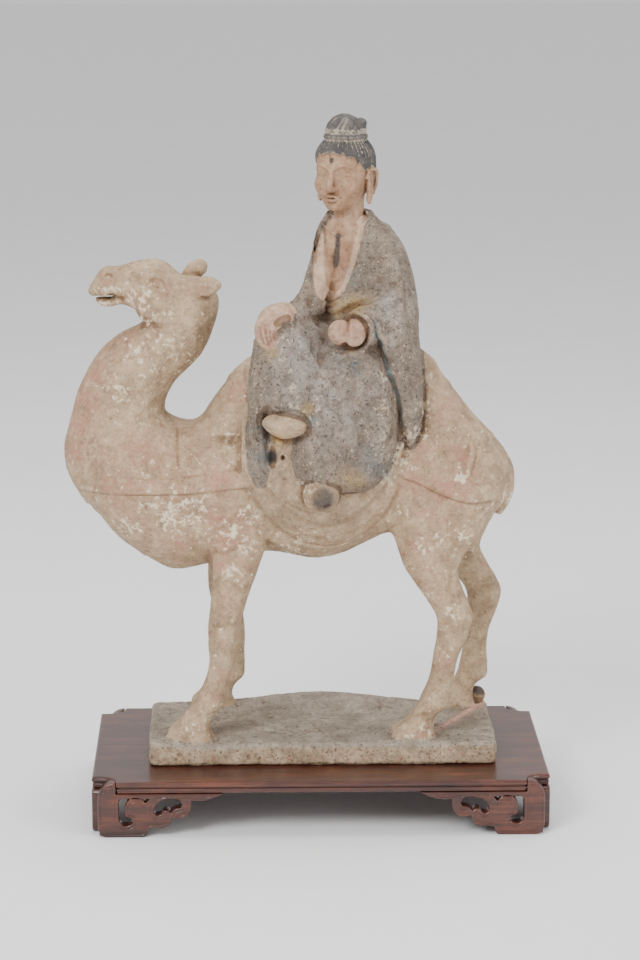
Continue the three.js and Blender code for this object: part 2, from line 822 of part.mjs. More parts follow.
addMesh("figure", geometryOf(figure()), clay);
addMesh("stand_board", geometryOf(board()), wood);
addMesh("stand_foot_front_left", foot(1, 1), wood);
addMesh("stand_foot_front_right", foot(-1, 1), wood);
addMesh("stand_foot_back_left", foot(1, -1), wood);
addMesh("stand_foot_back_right", foot(-1, -1), wood);

const box = new THREE.Box3().setFromObject(placed);
placed.position.x = -(box.min.x + box.max.x) / 2;

export default part;
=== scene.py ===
import math

import bmesh
import bpy
import numpy as np
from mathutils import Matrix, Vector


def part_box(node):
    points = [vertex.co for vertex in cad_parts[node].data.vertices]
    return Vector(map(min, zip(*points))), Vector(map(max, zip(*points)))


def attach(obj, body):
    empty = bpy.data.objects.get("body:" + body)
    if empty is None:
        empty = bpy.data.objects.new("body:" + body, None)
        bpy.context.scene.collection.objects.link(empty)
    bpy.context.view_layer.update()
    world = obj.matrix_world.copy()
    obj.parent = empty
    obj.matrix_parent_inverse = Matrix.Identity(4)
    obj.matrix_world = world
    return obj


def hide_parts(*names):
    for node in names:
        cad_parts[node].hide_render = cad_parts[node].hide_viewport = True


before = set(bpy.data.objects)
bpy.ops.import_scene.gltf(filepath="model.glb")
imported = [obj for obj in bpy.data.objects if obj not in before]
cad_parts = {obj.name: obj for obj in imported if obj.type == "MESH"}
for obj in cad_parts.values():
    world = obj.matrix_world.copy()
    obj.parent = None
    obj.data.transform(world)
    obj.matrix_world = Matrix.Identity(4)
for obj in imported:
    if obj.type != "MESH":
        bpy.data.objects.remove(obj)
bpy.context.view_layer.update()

import openvdb
from mathutils import Matrix, Vector

# The figure is sculpted as a field of distances on a regular grid, negative inside the clay.
# Sizes are millimetres, +Z up, with x = 0 and y = 0 at the middle of the wooden stand. The camel
# looks towards -X and the rider towards -Y, which is also the side the photograph shows.

COARSE = 1.5
FINE = COARSE / 2
HEAD_CELL = 0.42
WOOD_CELL = 0.42
LOW = np.array([-190.0, -88.0, 34.0])
HIGH = np.array([150.0, 64.0, 508.0])
FAR = 14.0
BODY_TRIANGLES = 156000
HEAD_TRIANGLES = 36000
FOOT_TRIANGLES = 14000
EYE = np.array([-53.63, -2239.60, 716.68])

SLAB_X = (-122.0, 126.0)
SLAB_Y = (-58.0, 55.0)
SLAB_Z = (40.3, 57.0)

board_low, board_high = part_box("stand_board")
STAND_MIDDLE = np.array([(board_low.x + board_high.x) / 2, (board_low.y + board_high.y) / 2, 0]) * 1000


def unit(v):
    v = np.asarray(v, float)
    return v / np.maximum(np.linalg.norm(v, axis=-1, keepdims=True), 1e-9)


def ease(value, low, high):
    """0 below low, 1 above high, smooth between."""
    t = np.clip((value - low) / (high - low), 0, 1)
    return t * t * (3 - 2 * t)


def spline(rows, steps):
    """A smooth row of points through the given ones; any further columns follow along."""
    rows = np.asarray(rows, float)
    flat = rows.reshape(len(rows), -1)
    centres = rows[:, :3] if rows.ndim == 2 else rows.mean(1)
    gap = np.maximum(np.linalg.norm(np.diff(centres, axis=0), axis=1), 1e-3)
    slope = np.diff(flat, axis=0) / gap[:, None]
    tangent = np.empty_like(flat)
    tangent[0] = slope[0]
    tangent[-1] = slope[-1]
    before, after = gap[:-1, None], gap[1:, None]
    tangent[1:-1] = (slope[:-1] * after + slope[1:] * before) / (before + after)
    out = []
    for i in range(len(flat) - 1):
        t = np.arange(steps)[:, None] / steps
        h00 = 2 * t**3 - 3 * t**2 + 1
        h10 = t**3 - 2 * t**2 + t
        h01 = -2 * t**3 + 3 * t**2
        h11 = t**3 - t**2
        out.append(
            h00 * flat[i] + h10 * gap[i] * tangent[i] + h01 * flat[i + 1] + h11 * gap[i] * tangent[i + 1]
        )
    out.append(flat[-1:])
    return np.concatenate(out).reshape((-1,) + rows.shape[1:])


def ring(middle, u, v, power=2.2, sides=48):
    """One closed section: a rounded oval around a middle, with two half axes."""
    angle = np.arange(sides) / sides * 2 * math.pi
    c, s = np.cos(angle), np.sin(angle)
    a = np.sign(c) * np.abs(c) ** (2 / power)
    b = np.sign(s) * np.abs(s) ** (2 / power)
    return np.asarray(middle) + a[:, None] * np.asarray(u) + b[:, None] * np.asarray(v)


def side_ring(start, end, y, half, power=2.2):
    """A section seen edge-on from the side, from [x, z] on one outline to [x, z] on the other."""
    (x0, z0), (x1, z1) = start, end
    return ring(((x0 + x1) / 2, y, (z0 + z1) / 2), ((x1 - x0) / 2, 0, (z1 - z0) / 2), (0, half, 0), power)


def flat_ring(x, y, z, rx, ry, power=2.2, turn=0.0):
    c, s = math.cos(turn), math.sin(turn)
    return ring((x, y, z), (c * rx, s * rx, 0), (-s * ry, c * ry, 0), power)


def path_rings(rows, flat=1.0, side=(0, 1, 0)):
    """Round sections square to a path of x, y, z, radius rows; flat thins them across the side."""
    rows = np.asarray(rows, float)
    along = unit(np.gradient(rows[:, :3], axis=0))
    rings = []
    for (x, y, z, radius), direction in zip(rows, along):
        u = unit(np.cross(direction, side))
        v = np.cross(direction, u)
        rings.append(ring((x, y, z), u * radius, v * radius * flat, 2))
    return rings


def loft(rings, steps=5):
    """Points and triangles of a closed solid through a row of sections."""
    rows = spline(np.array(rings), steps)
    count, sides = rows.shape[:2]
    points = np.concatenate([rows.reshape(-1, 3), rows[:1].mean(1), rows[-1:].mean(1)])
    row, i = np.meshgrid(np.arange(count - 1), np.arange(sides), indexing="ij")
    j = (i + 1) % sides
    a, b = row * sides + i, row * sides + j
    c, d = a + sides, b + sides
    body = [np.stack([a, b, c], -1).reshape(-1, 3), np.stack([b, d, c], -1).reshape(-1, 3)]
    i = np.arange(sides)
    j = (i + 1) % sides
    first, last = count * sides, count * sides + 1
    top = (count - 1) * sides
    caps = [
        np.stack([np.full(sides, first), j, i], -1),
        np.stack([np.full(sides, last), top + i, top + j], -1),
    ]
    return points, np.concatenate(body + caps)


def closed(rows, steps=5):
    """A smooth closed outline through the given points."""
    rows = list(rows)
    whole = spline([rows[-1]] + rows + rows[:2], steps)
    return whole[steps : steps * (len(rows) + 1)]


def flat_distance(outline, cell=0.4, margin=14.0):
    """Looks up how far flat places lie outside a closed outline, with negative values inside."""
    outline = np.asarray(outline, float)[:, :2]
    low = outline.min(0) - margin
    count = np.ceil((outline.max(0) + margin - low) / cell).astype(int) + 1
    x = (low[0] + np.arange(count[0]) * cell)[:, None]
    y = (low[1] + np.arange(count[1]) * cell)[None, :]
    nearest = np.full(tuple(count), 1e9)
    inside = np.zeros(tuple(count), bool)
    for a, b in zip(outline, np.roll(outline, -1, axis=0)):
        step = b - a
        t = np.clip(((x - a[0]) * step[0] + (y - a[1]) * step[1]) / max(step @ step, 1e-9), 0, 1)
        nearest = np.minimum(nearest, (x - a[0] - t * step[0]) ** 2 + (y - a[1] - t * step[1]) ** 2)
        if a[1] != b[1]:
            crossing = a[0] + (y - a[1]) / (b[1] - a[1]) * step[0]
            inside ^= ((a[1] > y) != (b[1] > y)) & (x < crossing)
    values = np.sqrt(nearest) * np.where(inside, -1, 1)

    def look_up(px, py):
        u = np.clip((px - low[0]) / cell, 0, count[0] - 1.001)
        v = np.clip((py - low[1]) / cell, 0, count[1] - 1.001)
        i, j = u.astype(int), v.astype(int)
        u, v = u - i, v - j
        near = values[i, j] * (1 - u) + values[i + 1, j] * u
        far = values[i, j + 1] * (1 - u) + values[i + 1, j + 1] * u
        return near * (1 - v) + far * v

    return look_up


def soft_min(a, b, blend):
    if blend <= 0:
        return np.minimum(a, b)
    least = np.minimum(a, b)
    overlap = np.maximum(blend - np.abs(a - b), 0) * (least < blend)
    return least - overlap * overlap / (4 * blend)


class Field:
    """Distances to the clay's surface at the points of a regular grid."""

    def __init__(self, cell, low, high, even=False):
        self.cell = cell
        self.start = np.floor(np.asarray(low) / cell).astype(int)
        if even:
            self.start = self.start // 2 * 2
        end = np.ceil(np.asarray(high) / cell).astype(int)
        self.values = np.full(end - self.start + 1, FAR, np.float32)

    def finer(self):
        """The same distances on a grid with half the cell."""
        values = self.values
        for axis in range(3):
            moved = np.moveaxis(values, axis, 0)
            out = np.empty((2 * len(moved) - 1,) + moved.shape[1:], np.float32)
            out[::2] = moved
            out[1::2] = (moved[1:] + moved[:-1]) * 0.5
            values = np.moveaxis(out, 0, axis)
        made = Field.__new__(Field)
        made.cell = self.cell / 2
        made.start = self.start * 2
        made.values = np.ascontiguousarray(values)
        return made

    def window(self, low, high):
        """The part of the grid inside a box: its slices and its x, y and z."""
        shape = np.array(self.values.shape)
        first = np.clip(np.floor(np.asarray(low) / self.cell).astype(int) - self.start, 0, shape - 1)
        last = np.clip(np.ceil(np.asarray(high) / self.cell).astype(int) + 1 - self.start, first + 1, shape)
        slices = tuple(slice(a, b) for a, b in zip(first, last))
        axes = [(self.start[i] + np.arange(first[i], last[i])) * self.cell for i in range(3)]
        x = axes[0].astype(np.float32)[:, None, None]
        y = axes[1].astype(np.float32)[None, :, None]
        z = axes[2].astype(np.float32)[None, None, :]
        return slices, x, y, z

    def merge(self, slices, distance, blend=0.0, cut=False):
        here = self.values[slices]
        if cut:
            self.values[slices] = -soft_min(-here, distance, blend)
        else:
            self.values[slices] = soft_min(here, distance, blend)

    def add_mesh(self, mesh, blend=0.0, cut=False):
        points, triangles = mesh
        band = FAR / self.cell
        grid = openvdb.FloatGrid.createLevelSetFromPolygons(
            points.astype(np.float32),
            triangles=triangles.astype(np.uint32),
            transform=openvdb.createLinearTransform(self.cell),
            exBandWidth=band,
            inBandWidth=band,
        )
        slices = self.window(points.min(0) - FAR, points.max(0) + FAR)[0]
        local = np.empty(self.values[slices].shape, np.float32)
        corner = [int(self.start[i] + slices[i].start) for i in range(3)]
        grid.copyToArray(local, ijk=tuple(corner))
        self.merge(slices, local, blend, cut)

    def add_oval(self, middle, radii, blend=0.0, cut=False, turn=0.0, lean=0.0):
        """An ellipsoid, turned about the vertical and leaned about its own side axis."""
        reach = max(radii) + blend + 2 * self.cell
        middle = np.asarray(middle, float)
        slices, x, y, z = self.window(middle - reach, middle + reach)
        x, y, z = x - middle[0], y - middle[1], z - middle[2]
        c, s = math.cos(turn), math.sin(turn)
        x, y = x * c + y * s, -x * s + y * c
        c, s = math.cos(lean), math.sin(lean)
        x, z = x * c + z * s, -x * s + z * c
        a, b, c = radii
        near = np.sqrt((x / a) ** 2 + (y / b) ** 2 + (z / c) ** 2)
        steep = np.sqrt((x / a**2) ** 2 + (y / b**2) ** 2 + (z / c**2) ** 2)
        self.merge(slices, (near * (near - 1) / np.maximum(steep, 1e-6)).astype(np.float32), blend, cut)

    def along(self, rows, reach):
        """Nearest distance to a path, the fourth column there, and the slices of its window."""
        slices, x, y, z = self.window(rows[:, :3].min(0) - reach, rows[:, :3].max(0) + reach)
        shape = np.broadcast_shapes(x.shape, y.shape, z.shape)
        best = np.full(shape, 1e3, np.float32)
        value = np.zeros(shape, np.float32)
        offset = np.array([s.start for s in slices]) + self.start
        for a, b in zip(rows[:-1], rows[1:]):
            low = np.minimum(a[:3], b[:3]) - reach
            high = np.maximum(a[:3], b[:3]) + reach
            first = np.clip(np.floor(low / self.cell).astype(int) - offset, 0, np.array(shape) - 1)
            last = np.clip(np.ceil(high / self.cell).astype(int) + 1 - offset, first + 1, shape)
            i, j, k = (slice(p, q) for p, q in zip(first, last))
            px, py, pz = x[i] - a[0], y[:, j] - a[1], z[:, :, k] - a[2]
            step = b[:3] - a[:3]
            length = max(float(step @ step), 1e-9)
            t = np.clip((px * step[0] + py * step[1] + pz * step[2]) / length, 0, 1)
            gap = np.sqrt((px - t * step[0]) ** 2 + (py - t * step[1]) ** 2 + (pz - t * step[2]) ** 2)
            there = best[i, j, k]
            closer = gap < there
            best[i, j, k] = np.where(closer, gap, there)
            value[i, j, k] = np.where(closer, a[3] + t * (b[3] - a[3]), value[i, j, k])
        return slices, best, value

    def add_tube(self, rows, blend=1.0, cut=False, steps=4):
        """A round rod along a smooth path of x, y, z, radius rows."""
        rows = spline(rows, steps)
        slices, gap, radius = self.along(rows, rows[:, 3].max() + blend + 2 * self.cell)
        self.merge(slices, gap - radius, blend, cut)

    def relief(self, rows, width, steps=4):
        """Raises the surface near a path by the fourth column, or sinks it where that is negative."""
        rows = spline(rows, steps)
        slices, gap, height = self.along(rows, width * 2.6)
        self.values[slices] -= height * np.exp(-((gap / width) ** 2))

    def layer(self, rows, spread, steps=4):
        """A cloth edge: the surface steps up by the fourth column on the left of the path, seen from
        outside, and sinks back to nothing over the spread."""
        rows = spline(rows, steps)
        reach = spread * 1.7
        slices, gap, height = self.along(rows, reach)
        _, x, y, z = self.window(rows[:, :3].min(0) - reach, rows[:, :3].max(0) + reach)
        normals = self.normals(rows[:, :3])
        across = unit(np.cross(normals, unit(np.gradient(rows[:, :3], axis=0))))
        offset = np.zeros(gap.shape, np.float32)
        nearest = np.full(gap.shape, 1e6, np.float32)
        for point, side in zip(rows[:, :3], across):
            px, py, pz = x - point[0], y - point[1], z - point[2]
            away = px * px + py * py + pz * pz
            closer = away < nearest
            nearest = np.where(closer, away, nearest)
            offset = np.where(closer, px * side[0] + py * side[1] + pz * side[2], offset)
        profile = 0.5 + 0.5 * np.tanh(offset / 0.7)
        fade = 1 - ease(gap, spread * 0.25, reach)
        line = np.exp(-(((offset + 1.1) / 0.9) ** 2)) * (gap < 3.5)
        self.values[slices] -= height * (profile * fade * (gap < reach) - 0.45 * line)

    def stamp(self, outline, plane, height, edge=0.9, depth=(-86.0, 0.0)):
        """Raises the area inside an outline of [x, z] readings, or sinks it."""
        outline = closed(outline)
        low, high = outline[:, :2].min(0), outline[:, :2].max(0)
        slices, x, y, z = self.window((low[0] - 4, depth[0], low[1] - 14), (high[0] + 4, depth[1], high[1] + 14))
        share = (plane - EYE[1]) / (y - EYE[1])
        seen_x = EYE[0] + (x - EYE[0]) * share
        seen_z = EYE[2] + (z - EYE[2]) * share
        shape = self.values[slices].shape
        away = flat_distance(outline)(np.broadcast_to(seen_x, shape), np.broadcast_to(seen_z, shape))
        self.values[slices] -= (height * ease(-away, -edge / 2, edge / 2)).astype(np.float32)

    def sample(self, points):
        """Distances at any points, by straight lines between the grid's."""
        place = np.asarray(points, float) / self.cell - self.start
        base = np.clip(np.floor(place).astype(int), 0, np.array(self.values.shape) - 2)
        part = np.clip(place - base, 0, 1)
        total = np.zeros(len(base))
        for corner in range(8):
            pick = np.array([(corner >> k) & 1 for k in range(3)])
            weight = np.prod(np.where(pick, part, 1 - part), axis=1)
            i, j, k = (base + pick).T
            total += weight * self.values[i, j, k]
        return total

    def normals(self, points):
        """The way out of the clay at any points near the surface."""
        points = np.asarray(points, float)
        slope = []
        for axis in range(3):
            step = np.zeros(3)
            step[axis] = self.cell * 1.5
            slope.append(self.sample(points + step) - self.sample(points - step))
        return unit(np.stack(slope, -1))

    def hit(self, starts, ways, reach):
        """Where rays first meet the clay."""
        starts, ways = np.asarray(starts, float), unit(ways)
        steps = np.arange(0, reach, self.cell * 0.7)
        spots = starts[:, None] + ways[:, None] * steps[None, :, None]
        depth = self.sample(spots.reshape(-1, 3)).reshape(len(starts), -1)
        inside = depth < 0
        first = np.where(inside.any(1), inside.argmax(1), depth.argmin(1))
        before = np.maximum(first - 1, 0)
        rows = np.arange(len(starts))
        near, far = depth[rows, before], depth[rows, first]
        share = np.clip(near / np.where(near - far == 0, 1, near - far), 0, 1)
        return spots[rows, before] + (spots[rows, first] - spots[rows, before]) * share[:, None]

    def seen(self, spots, plane):
        """The surface points behind [x, z] readings taken in the upright plane y = plane, as they
        are seen from the front. Further columns stay with their point."""
        spots = np.asarray(spots, float)
        targets = np.stack([spots[:, 0], np.full(len(spots), float(plane)), spots[:, 1]], -1)
        ways = unit(targets - EYE)
        starts = EYE + ways * ((LOW[1] - EYE[1]) / ways[:, 1])[:, None]
        return np.concatenate([self.hit(starts, ways, 160), spots[:, 2:]], 1)

    def behind(self, spots):
        """The same from the back, square on."""
        spots = np.asarray(spots, float)
        starts = np.stack([spots[:, 0], np.full(len(spots), HIGH[1]), spots[:, 1]], -1)
        ways = np.tile([0.0, -1.0, 0.0], (len(spots), 1))
        return np.concatenate([self.hit(starts, ways, 120), spots[:, 2:]], 1)

    def surface(self):
        """Points and triangles of the level where the distance is nothing."""
        limit = self.cell * 3
        grid = openvdb.FloatGrid(limit)
        grid.copyFromArray(np.clip(self.values, -limit, limit), ijk=tuple(int(v) for v in self.start))
        grid.transform = openvdb.createLinearTransform(self.cell)
        points, triangles, quads = grid.convertToPolygons(0.0, 0.0)
        halves = np.concatenate([quads[:, [0, 1, 2]], quads[:, [0, 2, 3]]]).astype(np.int64)
        triangles = np.concatenate([triangles.astype(np.int64), halves])
        a, b, c = (points[triangles[:, k]] for k in range(3))
        if np.einsum("ij,ij->i", a, np.cross(b, c)).sum() < 0:
            triangles = triangles[:, ::-1]
        return points.astype(float), triangles


# Random but repeatable grain.
def grain(points, size, seed):
    """Smooth random values from -1 to 1 that change over the given size."""
    side = 32
    lattice = np.random.default_rng(seed).uniform(-1, 1, (side, side, side))
    place = np.asarray(points, float) / size
    base = np.floor(place).astype(int)
    part = place - base
    part = part * part * (3 - 2 * part)
    total = np.zeros(len(place))
    for corner in range(8):
        pick = np.array([(corner >> k) & 1 for k in range(3)])
        weight = np.prod(np.where(pick, part, 1 - part), axis=1)
        i, j, k = ((base + pick) % side).T
        total += weight * lattice[i, j, k]
    return total


# Camel
BODY = [
    # x, underside, top, half width, squareness
    (-179, 246, 262, 11, 2.2),
    (-172, 230, 276, 27, 2.2),
    (-159, 216, 284, 38, 2.2),
    (-143, 197, 285, 45, 2.3),
    (-125, 184, 283, 48, 2.3),
    (-103, 173, 279, 49, 2.3),
    (-80, 177, 280, 49, 2.3),
    (-35, 186, 288, 47, 2.3),
    (0, 180.5, 290, 47, 2.3),
    (45, 198, 290, 46.5, 2.3),
    (90, 206, 286, 45, 2.3),
    (115, 207, 274, 38.5, 2.2),
    (130, 217, 260, 27, 2.2),
    (138, 230, 247, 12, 2.2),
]
NECK = [
    # front [x, z], back [x, z], half width
    ((-172, 240), (-78, 264), 42),
    ((-179, 262), (-98, 276), 36),
    ((-176, 284), (-108.5, 286), 31),
    ((-171.5, 300), (-108.5, 296), 28.5),
    ((-164, 316), (-101.5, 309.5), 27),
    ((-153, 332), (-89.5, 321), 26),
    ((-139.5, 343), (-81, 331), 25),
    ((-127, 349), (-75, 345), 24),
    ((-120, 357), (-70.5, 361), 22),
    ((-111, 372), (-73.5, 373), 18),
    ((-104, 381), (-84, 383), 12),
]
FORELEG = [
    # height, front, back, sideways, half width
    (222, -83, -30, -26, 21),
    (205, -78, -36, -30, 19),
    (190, -76, -40, -33.5, 16.5),
    (176, -75.5, -45, -36, 14.5),
    (160, -77, -51, -38, 13),
    (145, -78.5, -55, -39.5, 11.5),
    (133, -79.5, -58, -40, 11),
    (125, -79.5, -59.5, -40.3, 10.5),
    (112, -79, -61.8, -40.5, 9.2),
    (101, -81.5, -64.5, -41, 9),
    (89, -87, -67, -41.5, 9.5),
    (81, -92, -69, -42, 10.5),
    (74, -97.5, -76, -42, 11),
    (67, -103, -78.5, -42, 12.5),
    (60, -106.5, -78, -42, 13.5),
    (54, -106.5, -77.5, -42, 13.2),
]
HINDLEG = [
    (250, 52, 119, -21, 21),
    (223, 50, 120, -25, 22),
    (209, 50.5, 117, -28, 20.5),
    (194, 55.5, 106, -32, 17.5),
    (180, 60.5, 98, -35.5, 14.5),
    (167, 69, 100.5, -37.5, 12.8),
    (155, 77.5, 105.5, -39, 12),
    (145, 83, 108.5, -40, 11.3),
    (133, 83.3, 105.7, -40.5, 10.2),
    (115, 80.5, 98, -41, 9),
    (99, 77, 95, -42, 9),
    (88, 72.5, 93, -42, 9.7),
    (80, 69, 91.5, -42, 10.5),
    (74, 65, 84, -42, 10.8),
    (67, 59, 81.5, -42, 12),
    (60, 54, 80.5, -42, 13),
    (54, 53.5, 80, -42, 12.8),
]
# How far the far legs are shifted back at each height.
FAR_FORE = [(230, 0), (170, -4), (150, -2), (120, 7), (84, 14.5), (54, 16)]
FAR_HIND = [(250, 6), (222, 9), (195, 17), (170, 23), (150, 26), (120, 27.5), (98, 30), (84, 33.5), (54, 33.5)]


def leg(rows, side, shift):
    heights, shifts = zip(*sorted(shift))
    rings = []
    for z, front, back, y, half in rows:
        away = float(np.interp(z, heights, shifts))
        place = y if side < 0 else -y * 0.95
        rings.append(side_ring((front + away, z), (back + away, z), place, half, 2.3))
    return loft(rings)


def hooves(field, x0, x1, y):
    """Two blunt toes at the front of a broad pad."""
    middle = (x0 + x1) / 2
    field.add_oval((middle + 1, y, 57), ((x1 - x0) / 2, 13.5, 8), 3)
    for side in (-1, 1):
        field.add_oval((x0 + 6.5, y + side * 5.8, 58.5), (8, 6.6, 7.5), 3)


def camel_form():
    field = Field(COARSE, LOW, HIGH)
    field.add_mesh(loft([side_ring((x, low), (x, high), 0, half, power) for x, low, high, half, power in BODY]))
    field.add_mesh(loft([side_ring(front, back, 0, half) for front, back, half in NECK]), 9)
    front_hump = [(-44, 276, 42, 38), (-41, 292, 36, 33), (-38, 306, 29, 27), (-36, 318, 21, 20), (-34, 328, 11, 11)]
    rear_hump = [(80, 268, 43, 39), (76, 286, 32.5, 34), (73, 299, 25.5, 29), (69.5, 313, 18.5, 22), (68, 324, 13, 15), (67, 331, 6, 7)]
    for rows in (front_hump, rear_hump):
        field.add_mesh(loft([flat_ring(x, 0, z, rx, ry) for x, z, rx, ry in rows]), 8)
    field.add_mesh(leg(FORELEG, -1, [(0, 0), (300, 0)]), 7)
    field.add_mesh(leg(FORELEG, 1, FAR_FORE), 7)
    field.add_mesh(leg(HINDLEG, -1, [(0, 0), (300, 0)]), 7)
    field.add_mesh(leg(HINDLEG, 1, FAR_HIND), 7)
    return field


def camel_head(field):
    skull = [
        ((-93, 366), (-91, 382), 10),
        ((-99, 354), (-99, 386.5), 16),
        ((-107, 351), (-107, 393), 18.5),
        ((-115, 352), (-115, 395.5), 18),
        ((-124, 357), (-124, 395), 16),
        ((-132, 362), (-132, 393.5), 13.2),
        ((-141, 369), (-141, 391), 11.5),
        ((-150, 370), (-150, 390.5), 12),
        ((-156, 370), (-155, 387), 11),
        ((-160.5, 370.5), (-159.5, 379), 8.5),
        ((-162.2, 372), (-162, 375.5), 5),
    ]
    field.add_mesh(loft([side_ring(low, high, 0, half, 2.4) for low, high, half in skull]), 4)
    jaw = [
        ((-122, 355), (-122, 370), 12),
        ((-132, 361.5), (-132, 371), 10),
        ((-140, 363.8), (-140, 369.5), 9),
        ((-148, 362), (-148, 368.8), 9),
        ((-154, 363.5), (-154, 368.6), 7.5),
        ((-157.3, 366), (-157.3, 368.4), 4.5),
    ]
    field.add_mesh(loft([side_ring(low, high, 0, half) for low, high, half in jaw]), 1.5)
    for side in (-1, 1):
        field.add_oval((-112, side * 11, 366.5), (17.5, 11, 18.5), 3)


def camel_ears(field):
    """Two leaf-shaped ears, hollow towards the front, with a rolled rim."""
    near = [(-93, -12, 375.5, 4), (-86, -16, 378, 6.3), (-78.5, -18.5, 379.2, 7.2), (-72.5, -20, 380, 5.2), (-68.5, -20.5, 380.3, 1.8)]
    far = [(-95, 11, 378.5, 4), (-90, 14.5, 383.5, 6), (-85, 16.5, 387, 6.3), (-81, 18, 388.8, 4.5), (-79, 18.5, 389.8, 1.6)]
    field.add_mesh(loft(path_rings(near, 0.62), 4), 2)
    field.add_mesh(loft(path_rings(far, 0.62), 4), 2)
    field.add_tube([(-86.5, -21.5, 375.5, 1.0), (-79, -24.5, 376.3, 2.6), (-72, -24.5, 378.2, 1.3)], 1, cut=True)
    field.add_tube([(-90.5, 19.5, 381, 0.8), (-86, 22.5, 384.5, 2.2), (-81.5, 22.5, 387, 1.2)], 1, cut=True)


